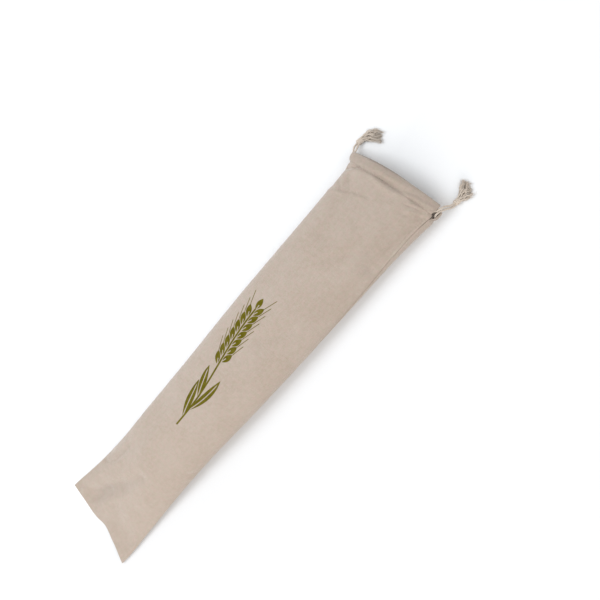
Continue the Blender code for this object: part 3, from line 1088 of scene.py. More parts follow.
@dataclass(frozen=True)
class LinenFinish:
    """Washed linen in plain weave, with the slubs and small uneven tones of its yarn, and painted shade in
    its weave's gaps and on its casing.
    """

    name: str
    design: Optional[SprigPrint] = None
    light: Color = (0.522, 0.455, 0.402)
    shade: Color = (0.404, 0.324, 0.260)
    rosy: Color = (0.500, 0.392, 0.338)
    green: Color = (0.452, 0.396, 0.312)
    broad: Mottle = Mottle(42, 60, 3, 1, 0.34, 0.66)
    fine: Mottle = Mottle(6, 7, 9, 3, 0.30, 0.70)
    grain: Mottle = Mottle(1.9, 1.9, 13, 1, 0.28, 0.72)
    hue_across: float = 5.0
    hue_along: float = 5.5
    hue_pattern: float = 21.0
    rosy_range: tuple[float, float] = (0.44, 0.64)
    green_range: tuple[float, float] = (0.54, 0.34)
    rosy_share: float = 0.55
    green_share: float = 0.45
    # Painted shade: the colour is darkened in the weave's gaps between threads, where shade falls.
    weave_shade_darkness: float = 0.40
    weave_shade_share: float = 0.30
    # Painted shade: the casing, from the stitch line round to its inner edge, is darkened in the colour to
    # stand in for its shading.
    painted_casing_shade: float = 0.12
    casing_from: float = 685.0
    pitch: float = 0.62
    relief: float = 0.30 * MM
    roughness: float = 0.92
    specular: float = 0.10
    sheen: float = 0.65
    sheen_roughness: float = 0.36

    def make(self) -> Finish:
        """Makes the material.

        Returns:
            The finish, for a piece whose UV map is in metres across and along the cloth.
        """
        graph = Graph(self.name, self.light, self.roughness, self.specular)
        graph.sheen(self.sheen, self.sheen_roughness)
        across, along = graph.cloth_place()
        weave, slubs = self.weave(graph, across, along)
        broad, fine, grain = (part.on(graph, across, along) for part in (self.broad, self.fine, self.grain))
        tone = broad * 0.20 + fine * 0.22 + slubs * 0.28 + grain * 0.30
        color = graph.mix(tone, self.shade, self.light)
        hue = graph.noise(across / self.hue_across, along / self.hue_along, self.hue_pattern)
        color = graph.mix(hue.soft(*self.rosy_range) * self.rosy_share, color, self.rosy)
        color = graph.mix(hue.soft(*self.green_range) * self.green_share, color, self.green)
        # Painted shade in the weave's gaps between threads.
        gaps = weave.soft(0.42, 0.0) * self.weave_shade_share
        # Painted shade on the casing.
        gaps = gaps + along.soft(self.casing_from, self.casing_from + 2) * self.painted_casing_shade
        # Mixes the painted shade of the weave's gaps and of the casing into the colour.
        color = graph.mix(gaps, color, tuple(self.weave_shade_darkness * part for part in self.shade))
        if self.design:
            color = self.design.over(graph, color, across, along)
        graph.paint(color)
        graph.bump(weave * 0.55 + slubs * 0.55 + grain * 0.35, self.relief)
        return Finish(graph.material, Slot.LINEN)

    def weave(self, graph: Graph, across: Value, along: Value) -> tuple[Value, Value]:
        """The threads of a plain weave.

        Args:
            graph: The material's nodes.
            across: The place across the cloth, in mm.
            along: The place along it.

        Returns:
            The height of the threads, and how thick their yarn is there, both from 0 to 1.
        """
        wander_x = graph.noise(across / 3, along / 22, 1.0) * 0.7
        wander_y = graph.noise(across / 22, along / 3, 2.0) * 0.7
        warp, weft = across / self.pitch + wander_x, along / self.pitch + wander_y
        warp_crown = (warp.of("FRACT") * math.pi).of("SINE")
        weft_crown = (weft.of("FRACT") * math.pi).of("SINE")
        warp_over = ((weft + warp.of("FLOOR")) * math.pi).of("SINE") * 0.5 + 0.5
        weft_over = 0.5 - ((warp + weft.of("FLOOR")) * math.pi).of("SINE") * 0.5
        height = (warp_crown * warp_over).of("MAXIMUM", weft_crown * weft_over)
        long_slubs = graph.noise(across / 1.1, along / 18, 31.0, detail=1.0)
        cross_slubs = graph.noise(across / 18, along / 1.1, 47.0, detail=1.0)
        slubs = long_slubs.of("MAXIMUM", cross_slubs).soft(0.42, 0.74)
        return height, slubs


@dataclass(frozen=True)
class YarnFinish:
    """Soft undyed cotton yarn with fine fibres along it."""

    name: str = "cotton_yarn"
    slot: Slot = Slot.CORD
    light: Color = (0.74, 0.655, 0.565)
    shade: Color = (0.52, 0.445, 0.375)
    roughness: float = 0.9
    specular: float = 0.15
    sheen: float = 0.2
    sheen_roughness: float = 0.55
    fibre_turns: float = 3.0
    fibre_lay: float = 0.22
    relief: float = 0.18 * MM

    def make(self) -> Finish:
        """Makes the material.

        Returns:
            The finish, for strands whose UV map is metres along and share of the way round.
        """
        graph = Graph(self.name, self.light, self.roughness, self.specular)
        graph.sheen(self.sheen, self.sheen_roughness)
        along, around = graph.cloth_place()
        around = around / 1000
        slant = (around + along * self.fibre_lay) * (self.fibre_turns * 2 * math.pi)
        fibres = slant.of("SINE") * 0.5 + 0.5
        fuzz = graph.noise(along / 0.8, around * 9, 3.0, detail=3.0)
        patchy = graph.noise(along / 7, around, 8.0)
        tone = fibres * 0.30 + fuzz.soft(0.3, 0.7) * 0.40 + patchy.soft(0.35, 0.65) * 0.30
        graph.paint(graph.mix(tone, self.shade, self.light))
        graph.bump(fibres * 0.5 + fuzz * 0.5, self.relief)
        return Finish(graph.material, self.slot)


@dataclass(frozen=True)
class FloorFinish:
    """A plain near-white studio floor, a shade deeper towards the foot on the bag's right."""

    color: Color = (0.741, 0.75, 0.761)
    far_color: Color = (0.908, 0.92, 0.935)
    lean: float = 0.35
    near: float = -0.35
    far: float = 0.90
    right: float = -0.05
    left: float = 0.09
    cloud: float = 0.04
    roughness: float = 0.9
    specular: float = 0.1

    def make(self) -> bpy.types.Material:
        """Makes the material.

        Returns:
            The floor's material.
        """
        graph = Graph("studio_floor", self.color, self.roughness, self.specular)
        place = graph.node("ShaderNodeNewGeometry").outputs["Position"]
        apart = graph.node("ShaderNodeSeparateXYZ")
        graph.tree.links.new(place, apart.inputs["Vector"])
        x, y = Value(graph, apart.outputs["X"]), Value(graph, apart.outputs["Y"])
        share = (x - y * self.lean).soft(self.near, self.far)
        share = share.of("MAXIMUM", y.soft(self.right, self.left))
        cloud = graph.noise(x * 3, y * 3)
        share = share * (1 - self.cloud) + cloud * self.cloud
        graph.paint(graph.mix(share, self.color, self.far_color))
        return graph.material


# ---------------------------------------------------------------------------------------------
# Studio
# ---------------------------------------------------------------------------------------------


@dataclass
class Studio:
    """The camera, the lights and the floor."""

    target: tuple[float, float, float] = (0.133, -0.005, 0.0)
    distance: float = 1.0
    tilt: float = math.radians(12)
    roll: float = math.atan2(0.75080, 0.66053)
    lens: float = 42.0
    sensor_width: float = 36.0
    world: float = 0.80
    floor_half: float = 6.0
    floor_parts: int = 12

    def build(self) -> None:
        """Sets up everything but the object."""
        self.camera()
        for lamp in LAMPS:
            self.hang(lamp)
        self.sky()
        self.floor()
        bpy.context.scene.view_settings.view_transform = "Standard"

    def camera(self) -> None:
        """A camera above the bag, leaning towards its mouth."""
        down_bag = Vector((math.cos(self.tilt), 0, -math.sin(self.tilt)))
        to_camera = Vector((math.sin(self.tilt), 0, math.cos(self.tilt)))
        across = Vector((0, 1, 0))
        right = down_bag * math.cos(self.roll) - across * math.sin(self.roll)
        up = down_bag * math.sin(self.roll) + across * math.cos(self.roll)
        lens = bpy.data.cameras.new("camera")
        lens.lens = self.lens
        lens.sensor_width = self.sensor_width
        camera = bpy.data.objects.new("camera", lens)
        rotation = np.array([right, up, to_camera]).T
        for row in range(3):
            camera.matrix_world[row][:3] = rotation[row]
        camera.matrix_world.translation = Vector(self.target) + to_camera * self.distance
        bpy.context.scene.collection.objects.link(camera)
        bpy.context.scene.camera = camera

    def hang(self, lamp: Lamp) -> None:
        """Hangs a lamp so that it faces the bag.

        Args:
            lamp: The lamp.
        """
        data = bpy.data.lights.new(lamp.name, "AREA")
        data.shape = "RECTANGLE"
        data.size, data.size_y = lamp.size
        data.energy = lamp.power
        data.color = lamp.color
        light = bpy.data.objects.new(lamp.name, data)
        light.location = lamp.place
        light.rotation_euler = (-Vector(lamp.place)).to_track_quat("-Z", "Y").to_euler()
        bpy.context.scene.collection.objects.link(light)

    def sky(self) -> None:
        """Even white light from all round."""
        world = bpy.data.worlds.new("studio")
        world.use_nodes = True
        sky = world.node_tree.nodes["Background"]
        sky.inputs["Color"].default_value = (1, 1, 1, 1)
        sky.inputs["Strength"].default_value = self.world
        bpy.context.scene.world = world

    def floor(self) -> None:
        """A wide floor that the bag lies on."""
        mesh = bpy.data.meshes.new("studio_floor")
        line = np.linspace(-self.floor_half, self.floor_half, self.floor_parts + 1)
        points = [(x, y, 0.0) for x in line for y in line]
        index = np.arange(len(points)).reshape(len(line), len(line))
        mesh.from_pydata(points, [], grid_quads(index).tolist())
        mesh.materials.append(FloorFinish().make())
        floor = bpy.data.objects.new("studio_floor", mesh)
        bpy.context.scene.collection.objects.link(floor)


# ---------------------------------------------------------------------------------------------
# The cloth
# ---------------------------------------------------------------------------------------------


@dataclass
class Panel:
    """A panel of the bag: one sheet of cloth with its casing turned in at the mouth.

    slit_from and slit_to are how far from the mouth's edge a slit starts to open and is open.
    crowding draws the columns together towards the side seams. Creases fade out within the calm
    distances of the sides and the foot. A swell is the most that the creases may raise the outer
    or the inner layer. end_play is kept free of stitches, beside both slits together.
    """

    form: BagForm
    finish: Finish
    thread: Finish
    name: str = "panel"
    node: str = ""
    cut_width: float = 155 * MM
    slit: float = 4.5 * MM
    slit_radius: float = 0.35 * MM
    seam_gap: float = 0.54 * MM
    slit_from: float = 18.5 * MM
    slit_to: float = 12.5 * MM
    fold_radius: float = 2.7 * MM
    roll_radius: float = 1.45 * MM
    turned_in: float = 1.6 * MM
    turned_from: float = 32 * MM
    turned_to: float = 44 * MM
    fine_from: float = 91 * MM
    row_step: float = 2.6 * MM
    mouth_row_step: float = 1.15 * MM
    columns: int = 112
    crowding: float = 0.11
    stitch_line: float = 14.8 * MM
    groove: float = 0.45 * MM
    groove_width: float = 0.9 * MM
    stitch_length: float = 2.7 * MM
    stitch_step: float = 3.3 * MM
    stitch_dip: float = 0.36 * MM
    stitch_proud: float = 0.14 * MM
    thread_radius: float = 0.23 * MM
    end_play: float = 3 * MM
    wave: float = 0.38 * MM
    wave_size: float = 26 * MM
    unevenness: float = 0.16 * MM
    unevenness_size: float = 9 * MM
    wobble: float = 5.0
    wobble_size: float = 15 * MM
    hem_pucker: float = 0.24 * MM
    hem_pucker_step: float = 1.05 * MM
    hem_pucker_reach: float = 4.2 * MM
    seam_pucker: float = 0.22 * MM
    seam_pucker_step: float = 1.6 * MM
    seam_pucker_reach: float = 5 * MM
    side_calm: float = 4 * MM
    foot_calm: float = 5 * MM
    inner_crease_from: float = 20 * MM
    inner_crease_to: float = 15.5 * MM
    outer_swell: float = 3.5 * MM
    inner_swell: float = 0.2 * MM
    edge_turn: float = 0.25
    seed: float = 3.0

    def ends(self, at: np.ndarray) -> tuple[np.ndarray, np.ndarray]:
        """The angles of the two side seams in the rows, in the order of the columns."""
        raise NotImplementedError

    def lay(self, at: np.ndarray, turn: np.ndarray, inside: np.ndarray) -> np.ndarray:
        """The middle of the panel's cloth, at a distance inside the form."""
        raise NotImplementedError

    def sides(self) -> tuple[Side, Side]:
        """The sides that the columns run from and to."""
        raise NotImplementedError

    def relief(
        self, points: np.ndarray, back: np.ndarray, near: np.ndarray, across: np.ndarray
    ) -> np.ndarray:
        """How far fine creases raise the cloth.

        Args:
            points: The cloth's points before they are raised.
            back: Each row's distance from the mouth's edge.
            near: Each point's distance from the nearer side seam.
            across: Each point's place across the cloth.

        Returns:
            The height outwards at each point.
        """
        waves = ripples(points, self.wave_size, self.seed) * self.wave
        waves = waves + ripples(points, self.unevenness_size, self.seed + 7) * self.unevenness
        wobble = ripples(points, self.wobble_size, self.seed + 20) * self.wobble
        near_hem = np.exp(-(((back[:, None] - self.stitch_line) / self.hem_pucker_reach) ** 2))
        hem = np.sin(across / self.hem_pucker_step + wobble) * near_hem * self.hem_pucker
        near_seam = np.exp(-((near / self.seam_pucker_reach) ** 2))
        seam = np.sin(points[..., 0] / self.seam_pucker_step + wobble) * near_seam * self.seam_pucker
        return waves + hem + seam * ease(2 * MM, 12 * MM, back)[:, None]

    def rows(self) -> tuple[np.ndarray, np.ndarray, np.ndarray]:
        """The rows of the cloth, from the bottom seam round the mouth's fold to the inner edge.

        Returns:
            For each row its distance from the mouth's edge, its distance inside the form, and
            its place along the flat cloth.
        """
        half_layer = self.form.layer_step / 2
        length = self.form.length
        foot = np.linspace(math.pi / 2, 0, 6)
        hem_start, hem_end = HEM_OUTER[0].back * MM, HEM_OUTER[-1].back * MM
        coarse = np.arange(length - 1.8 * MM, self.fine_from + MM, -self.row_step)
        fine = np.arange(self.fine_from - MM, hem_start + MM, -self.mouth_row_step)
        outer = np.linspace(hem_start, hem_end, 30)
        groove = self.groove * np.exp(-(((outer - self.stitch_line) / self.groove_width) ** 2))
        fold = np.linspace(0, math.pi, 15)
        inner = np.linspace(HEM_INNER[0].back * MM, HEM_INNER[-1].back * MM, 12)
        parts = [
            (length - half_layer * (1 - np.sin(foot)), half_layer * (1 - np.cos(foot))),
            (coarse, 0 * coarse),
            (fine, 0 * fine),
            (outer, hem_depth(HEM_OUTER, outer) + groove),
            (self.fold_radius * (1 - np.sin(fold)), self.fold_radius * (1 - np.cos(fold))),
            (inner, hem_depth(HEM_INNER, inner)),
        ]
        back, inside = (np.concatenate(column) for column in zip(*parts))
        return back, inside, lengths_along(np.stack([back, inside], axis=-1))

    def across(self, at: np.ndarray, back: np.ndarray) -> tuple[np.ndarray, np.ndarray, Arcs]:
        """The columns' distances from the first seam in each row, and how deep they turn in.

        Args:
            at: The rows' places along the bag.
            back: Their distances from the mouth's edge.

        Returns:
            The distances, the depths, and the rows' arcs.
        """
        start, end = self.ends(at)
        arcs = Arcs(self.form, at, start, end)
        opened = ease(self.slit_from, self.slit_to, back)
        gap = self.seam_gap + (self.slit - self.seam_gap) * opened
        distances, depths = [], []
        for side in self.sides():
            closed = self.form.closed(side, at)
            half_layer = self.form.layer_step / 2
            radius = half_layer + (self.roll_radius - half_layer) * (1 - closed)
            radius = radius + (self.slit_radius - radius) * opened
            extra = self.turned_in * ease(0.55, 0.95, 1 - closed)
            extra = extra * ease(self.turned_from, self.turned_to, back)
            angle = np.linspace(math.pi / 2, 0, 6)
            roll = radius[:, None] * (1 - np.sin(angle))
            deep = radius[:, None] * (1 - np.cos(angle))
            distances.append(gap[:, None] + np.concatenate([0 * roll[:, :1], roll], axis=1))
            depths.append(np.concatenate([deep[:, :1] + extra[:, None], deep], axis=1))
        flat_from, flat_to = distances[0][:, -1], arcs.total - distances[1][:, -1]
        share = np.linspace(0, 1, self.columns + 2)[1:-1]
        share = share - self.crowding * np.sin(2 * math.pi * share)
        middle = flat_from[:, None] + (flat_to - flat_from)[:, None] * share
        distance = [distances[0], middle, arcs.total[:, None] - distances[1][:, ::-1]]
        depth = [depths[0], np.zeros_like(middle), depths[1][:, ::-1]]
        return np.concatenate(distance, axis=1), np.concatenate(depth, axis=1), arcs

    def build(self) -> bpy.types.Object:
        """Makes the cloth, in place of its solid.

        Returns:
            The cloth.
        """
        back, inside, along = self.rows()
        at = 1 - back / self.form.length
        distance, depth, arcs = self.across(at, back)
        inside = np.broadcast_to(inside[:, None], depth.shape)
        inside = np.where(depth > TINY, np.maximum(inside, depth), inside)
        outer = np.ones(len(back))
        fold_row = int(np.argmin(back))
        outer[fold_row:] = ease(self.inner_crease_from, self.inner_crease_to, back[fold_row:])
        near = np.minimum(distance, arcs.total[:, None] - distance)
        share = outer * ease(0.0, self.foot_calm, along)
        share = share[:, None] * ease(0.0, self.side_calm, near)
        points = self.raised(back, distance, arcs, inside, share)
        sheet = self.sheet(points, distance - arcs.total[:, None] / 2, along)
        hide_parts(self.node)
        return sheet

    def raised(
        self,
        back: np.ndarray,
        distance: np.ndarray,
        arcs: Arcs,
        inside: np.ndarray,
        share: Union[float, np.ndarray],
    ) -> np.ndarray:
        """Points of the cloth with its fine creases.

        Args:
            back: Each row's distance from the mouth's edge.
            distance: Each point's distance from the first side seam.
            arcs: The rows' arcs.
            inside: Each point's distance inside the form.
            share: How much of the creases' height is used.

        Returns:
            The points.
        """
        at = (1 - back / self.form.length)[:, None]
        turn = arcs.turn_at(distance)
        plain = self.lay(at, turn, inside)
        near = np.minimum(distance, arcs.total[:, None] - distance)
        relief = self.relief(plain, back, near, distance - arcs.total[:, None] / 2)
        deep = ease(0.5 * MM, 3.5 * MM, inside)
        room = self.outer_swell - (self.outer_swell - self.inner_swell) * deep
        return self.lay(at, turn, inside - np.minimum(relief, room) * share)

    def sheet(self, points: np.ndarray, across: np.ndarray, along: np.ndarray) -> bpy.types.Object:
        """A cloth object from a grid of its middle's points.

        Args:
            points: The grid, rows first.
            across: Each point's place across the cloth.
            along: Each row's place along it.

        Returns:
            The cloth, with its thickness.
        """
        rows, columns = points.shape[:2]
        quads = grid_quads(np.arange(rows * columns).reshape(rows, columns))
        mesh = bpy.data.meshes.new(self.name)
        mesh.from_pydata(points.reshape(-1, 3).tolist(), [], quads.tolist())
        uv = np.stack(np.broadcast_arrays(across, along[:, None]), axis=-1).reshape(-1, 2)
        layer = mesh.uv_layers.new(name="cloth")
        layer.data.foreach_set("uv", uv[quads.ravel()].ravel())
        cloth = shown(self.name, mesh, self.finish)
        thickness = cloth.modifiers.new("cloth thickness", "SOLIDIFY")
        thickness.thickness = self.form.cloth
        thickness.offset = 0
        return cloth

    def stitching(self) -> bpy.types.Object:
        """The casing's line of stitches, each lying in the stitch line's groove.

        Returns:
            The stitches, as one object.
        """
        back = np.full(1, self.stitch_line)
        _, _, arcs = self.across(1 - back / self.form.length, back)
        count = int((arcs.total[0] - 2 * self.slit - self.end_play) / self.stitch_step)
        first = (arcs.total[0] - count * self.stitch_step + self.stitch_step - self.stitch_length) / 2
        shares = np.linspace(0, 1, 9)
        depth = hem_depth(HEM_OUTER, self.stitch_line) + self.groove
        depth = depth - self.form.cloth / 2 - self.stitch_proud
        dip = self.stitch_dip * (1 - np.sin(math.pi * shares)) ** 2
        radius = self.thread_radius * (0.5 + 0.5 * np.sin(math.pi * shares) ** 0.4)
        threads = Tubes()
        for number in range(count):
            places = first + number * self.stitch_step + shares * self.stitch_length
            line = self.raised(back, places[None], arcs, (depth + dip)[None], 1.0)[0]
            threads.add(line, radius, sides=6)
        return threads.build(self.name + "_stitches", self.thread)


@dataclass
class FrontPanel(Panel):
    """The upper panel, which drapes over the bag's filled shape."""

    name: str = "front_cloth"
    node: str = "front_panel"
    least_lift: float = 0.85
    held_off: float = 0.74
    held_from: float = 15 * MM
    held_to: float = 13 * MM

    def sides(self) -> tuple[Side, Side]:
        """From the right seam over the top to the left one."""
        return Side.RIGHT, Side.LEFT

    def ends(self, at: np.ndarray) -> tuple[np.ndarray, np.ndarray]:
        """The seams' angles in the rows."""
        return self.form.seam_turn(Side.RIGHT, at), self.form.seam_turn(Side.LEFT, at)

    def lay(self, at: np.ndarray, turn: np.ndarray, inside: np.ndarray) -> np.ndarray:
        """The middle of the cloth, which is lifted off the back panel where they lie as layers.

        Args:
            at: Places along the bag.
            turn: Angles round it.
            inside: Distances inside the form.

        Returns:
            The points.
        """
        right, left = self.form.closed(Side.RIGHT, at), self.form.closed(Side.LEFT, at)
        lift = (left + (right - left) * (1 + np.cos(turn)) / 2) * self.form.layer_step
        right_turn = self.form.seam_turn(Side.RIGHT, at)
        square_on = np.clip(turn, right_turn + self.edge_turn * right, math.pi - self.edge_turn * left)
        points = self.form.point(at, turn) + self.form.inward(at, square_on) * inside[..., None]
        lowest = self.form.floor + self.least_lift * self.form.layer_step
        points[..., 2] = np.maximum(points[..., 2] + lift, lowest)
        return points

    def relief(
        self, points: np.ndarray, back: np.ndarray, near: np.ndarray, across: np.ndarray
    ) -> np.ndarray:
        """How far fine creases raise the cloth, with the long ones of this panel.

        Args:
            points: The cloth's points before they are raised.
            back: Each row's distance from the mouth's edge.
            near: Each point's distance from the nearer side seam.
            across: Each point's place across the cloth.

        Returns:
            The height outwards at each point.
        """
        plain = super().relief(points, back, near, across)
        over_cords = self.held_off * ease(self.held_from, self.held_to, back)[:, None]
        return plain + creases_height(FRONT_CREASES, points[..., 0], points[..., 1], over_cords)


@dataclass
class BackPanel(Panel):
    """The lower panel, which the bag lies on."""

    name: str = "back_cloth"
    node: str = "back_panel"
    slit: float = 5.5 * MM
    clear: float = 0.06 * MM
    seed: float = 11.0

    def sides(self) -> tuple[Side, Side]:
        """From the left seam underneath to the right one."""
        return Side.LEFT, Side.RIGHT

    def ends(self, at: np.ndarray) -> tuple[np.ndarray, np.ndarray]:
        """The seams' angles in the rows."""
        return np.full(at.shape, -math.pi), self.form.seam_turn(Side.RIGHT, at)

    def lay(self, at: np.ndarray, turn: np.ndarray, inside: np.ndarray) -> np.ndarray:
        """The middle of the cloth, which the floor keeps flat underneath.

        Args:
            at: Places along the bag.
            turn: Angles round it.
            inside: Distances inside the form.

        Returns:
            The points.
        """
        place = self.form.back_place(at, turn)
        right, left = self.form.closed(Side.RIGHT, at), self.form.closed(Side.LEFT, at)
        right_turn = self.form.seam_turn(Side.RIGHT, at)
        square_on = np.clip(turn, self.edge_turn * left - math.pi, right_turn - self.edge_turn * right)
        points = self.form.point(place, turn) + self.form.inward(place, square_on) * inside[..., None]
        points[..., 2] = np.maximum(points[..., 2], self.form.floor + self.clear)
        return points


# ---------------------------------------------------------------------------------------------
# The drawcords
# ---------------------------------------------------------------------------------------------


@dataclass
class Tie:
    """A drawcord, its knot and its frayed end.

    Places, and the sizes without a default, are in mm. lane is the cord's distance from the
    mouth's edge inside the casing. front_end and back_end are its free ends, from the casing to
    the knot, and far_turn its way round the other slit. leaves_at, the point of front_end that
    clears the hem, is not used. heading is where the frayed end points, in degrees, spread how
    many times wider it grows, and bend how far it curves to its left.
    """

    form: BagForm
    front: Panel
    back: Panel
    yarn: Finish
    side: Side
    lane: float
    front_end: Sequence[tuple[float, float, float]]
    back_end: Sequence[tuple[float, float, float]]
    far_turn: Sequence[tuple[float, float, float]]
    knot_place: tuple[float, float]
    heading: float
    strand_length: float
    spread: float
    bend: float
    seed: int
    leaves_at: int = 0
    plies: int = 3
    diameter: float = 3 * MM
    ply_radius: float = 0.70 * MM
    ply_reach: float = 0.80 * MM
    twist: float = 8.5 * MM
    step: float = 0.6 * MM
    lane_end: float = 9.5 * MM
    lane_parts: int = 13
    tuck_in: float = 2 * MM
    tuck_aside: float = 0.8 * MM
    tuck_apart: float = 0.9 * MM
    knot_radius: float = 4.5 * MM
    knot_length: float = 9 * MM
    knot_ply_radius: float = 0.76 * MM
    knot_ply_reach: float = 0.74 * MM
    knot_twist: float = 5.2 * MM
    knot_step: float = 0.35 * MM
    wraps: float = 2.6
    wrap_start: float = -0.9
    wrap_reach: float = 2.95 * MM
    wrap_slant: float = 0.55 * MM
    bridge_share: float = 0.85
    bridge_out: float = 2.6 * MM
    bridge_rise: float = 3.4 * MM
    bridge_drop: float = 0.6 * MM
    core_out: float = 1.2 * MM
    locks: int = 17
    lock_curl: float = 1.9 * MM
    lock_twist: float = 6.0 * MM
    lock_gap: float = 0.46 * MM
    lock_opening: float = 0.5 * MM
    lock_radius: float = 0.47 * MM
    lock_taper: float = 0.20 * MM
    loose_yarns: int = 24
    yarn_curl: float = 1.3 * MM
    yarn_radius: float = 0.36 * MM
    yarn_taper: float = 0.16 * MM
    curl_length: float = 11.5 * MM
    root_share: float = 0.3
    root_spread: float = 3.0 * MM
    uneven_length: float = 0.14
    rounding: float = 0.24
    settling: float = 2.2
    pile: float = 0.9
    strand_radius: float = 0.45 * MM
    floor_gap: float = 0.02 * MM
    hairs: int = 140
    hair_radius: float = 0.07 * MM
    hair_gap: float = 0.03 * MM
    hair_drift: tuple[float, float, float] = (1.7 * MM, 1.7 * MM, 1.0 * MM)

    def lane_points(self, panel: Panel) -> np.ndarray:
        """The middle of the cord inside a casing.

        Args:
            panel: The panel whose casing it is.

        Returns:
            The points, from this tie's side to the other.
        """
        at = np.array([1 - self.lane * MM / self.form.length])
        start, end = panel.ends(at)
        arcs = Arcs(self.form, at, start, end)
        first, last = arcs.turn_at(np.array([[self.lane_end, arcs.total[0] - self.lane_end]]))[0]
        turns = np.linspace(first, last, self.lane_parts + 1)[None]
        points = panel.lay(at[:, None], turns, np.full(turns.shape, panel.fold_radius))[0]
        own_side_first = panel.sides()[0] is self.side
        return points if own_side_first else points[::-1]

    def tucked(self, end: np.ndarray, height: float) -> np.ndarray:
        """Where a free end stops inside the knot, on the side that it comes in on.

        Args:
            end: Where it reaches the knot.
            height: Its height above the knot's middle.

        Returns:
            The point, alone in a row.
        """
        middle, along, across = self.axes()
        side = np.sign(np.dot(end - middle, across))
        return (middle - self.tuck_in * along + side * self.tuck_aside * across + height * UP)[None]

    def route(self) -> np.ndarray:
        """The cord's way, from inside the knot through both casings and back into the knot.

        Returns:
            The points that it runs through.
        """
        there, back = self.lane_points(self.front), self.lane_points(self.back)[::-1]
        parts = (self.front_end, self.far_turn, self.back_end)
        first, turn, last = (np.array(part) * MM for part in parts)
        start = self.tucked(first[-1], self.tuck_apart)
        stop = self.tucked(last[-1], -self.tuck_apart)
        return np.concatenate([start, first[::-1], there, turn, back, last, stop])

    def build(self) -> list[bpy.types.Object]:
        """Makes the cord, its knot and its fray, in place of their solids.

        Returns:
            The pieces.
        """
        name = self.side.value
        way = route_through(self.route(), self.step)
        strands = Tubes()
        for ply in range(self.plies):
            yarn = wound(way, self.ply_reach, self.twist, ply / self.plies)
            strands.add(yarn, self.ply_radius, sides=9)
        cord = strands.build("cord_" + name, self.yarn)
        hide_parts("drawcord_" + name)
        knot, fray = self.knot(), self.fray()
        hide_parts("tassel_" + name)
        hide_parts("tassel_" + name)
        return [cord, knot, fray]

    def axes(self) -> tuple[np.ndarray, np.ndarray, np.ndarray]:
        """How the knot lies.

        Returns:
            Its middle, the way that the fray points, and the way across that.
        """
        heading = math.radians(self.heading)
        along = np.array((math.cos(heading), math.sin(heading), 0.0))
        middle = np.array((self.knot_place[0] * MM, self.knot_place[1] * MM, self.knot_radius))
        return middle, along, np.cross(UP, along)

    def knot(self) -> bpy.types.Object:
        """The knot: both ends of the cord, wrapped round and tucked under themselves.

        Returns:
            The knot.
        """
        middle, along, across = self.axes()
        half = (self.knot_length - self.diameter) / 2
        shares = np.linspace(-1, 1, 90)[:, None]
        angle = (shares + 1) / 2 * self.wraps * 2 * math.pi + self.wrap_start
        ring = across * np.cos(angle) + UP * np.sin(angle)
        wrap = middle + ring * self.wrap_reach + along * (half * shares + self.wrap_slant * np.sin(angle))
        shares = np.linspace(-1, 1, 40)[:, None]
        rise = self.bridge_rise * np.cos(shares * math.pi / 2) - self.bridge_drop
        bridge = along * (half * self.bridge_share) + across * self.bridge_out
        lines = [wrap, middle + bridge * shares + UP * rise]
        shares = np.linspace(-1, 1, 24)[:, None]
        for side in (-1, 1):
            lines.append(middle + along * (self.knot_length / 2 * shares) + across * (side * self.core_out))
        strands = Tubes()
        for line in lines:
            fine = route_through(line, self.knot_step)
            for ply in range(self.plies):
                yarn = wound(fine, self.knot_ply_reach, self.knot_twist, ply / self.plies)
                strands.add(yarn, self.knot_ply_radius, sides=8)
        return strands.build("knot_" + self.side.value, self.yarn)

    def strand(self, number: int, count: int, curl: float, places: np.ndarray) -> np.ndarray:
        """The middle of a lock or a yarn of the fray, from inside the knot to its tip.

        Args:
            number: Which one.
            count: How many there are of its kind.
            curl: How far it winds about its way, in metres.
            places: Shares of its length.

        Returns:
            Its points.
        """
        middle, along, across = self.axes()
        reach = self.root_spread * math.sqrt((number + 0.5) / count)
        angle = number * GOLDEN_ANGLE
        side, up = reach * math.cos(angle), reach * math.sin(angle)
        length = 1 + self.uneven_length * (math.cos(number * 2.4) - 1)
        length *= self.strand_length * MM * (1 - self.rounding * (side / self.root_spread) ** 2)
        settled = ease(0, 1, places * self.settling)
        lying = self.strand_radius + (up + self.root_spread) * self.pile
        height = (self.knot_radius + up) * (1 - settled) + lying * settled
        sideways = side * (1 + (self.spread - 1) * places**1.1) + self.bend * MM * places**2
        curl = curl * places**0.7
        phase = number * 1.9 + places * length / (self.curl_length + number % 3 * MM) * 2 * math.pi
        run = self.knot_length * self.root_share + length * places
        points = middle + along * run[:, None] + across * (sideways + curl * np.cos(phase))[:, None]
        points[:, 2] = height + curl * 0.55 * np.sin(phase)
        return points

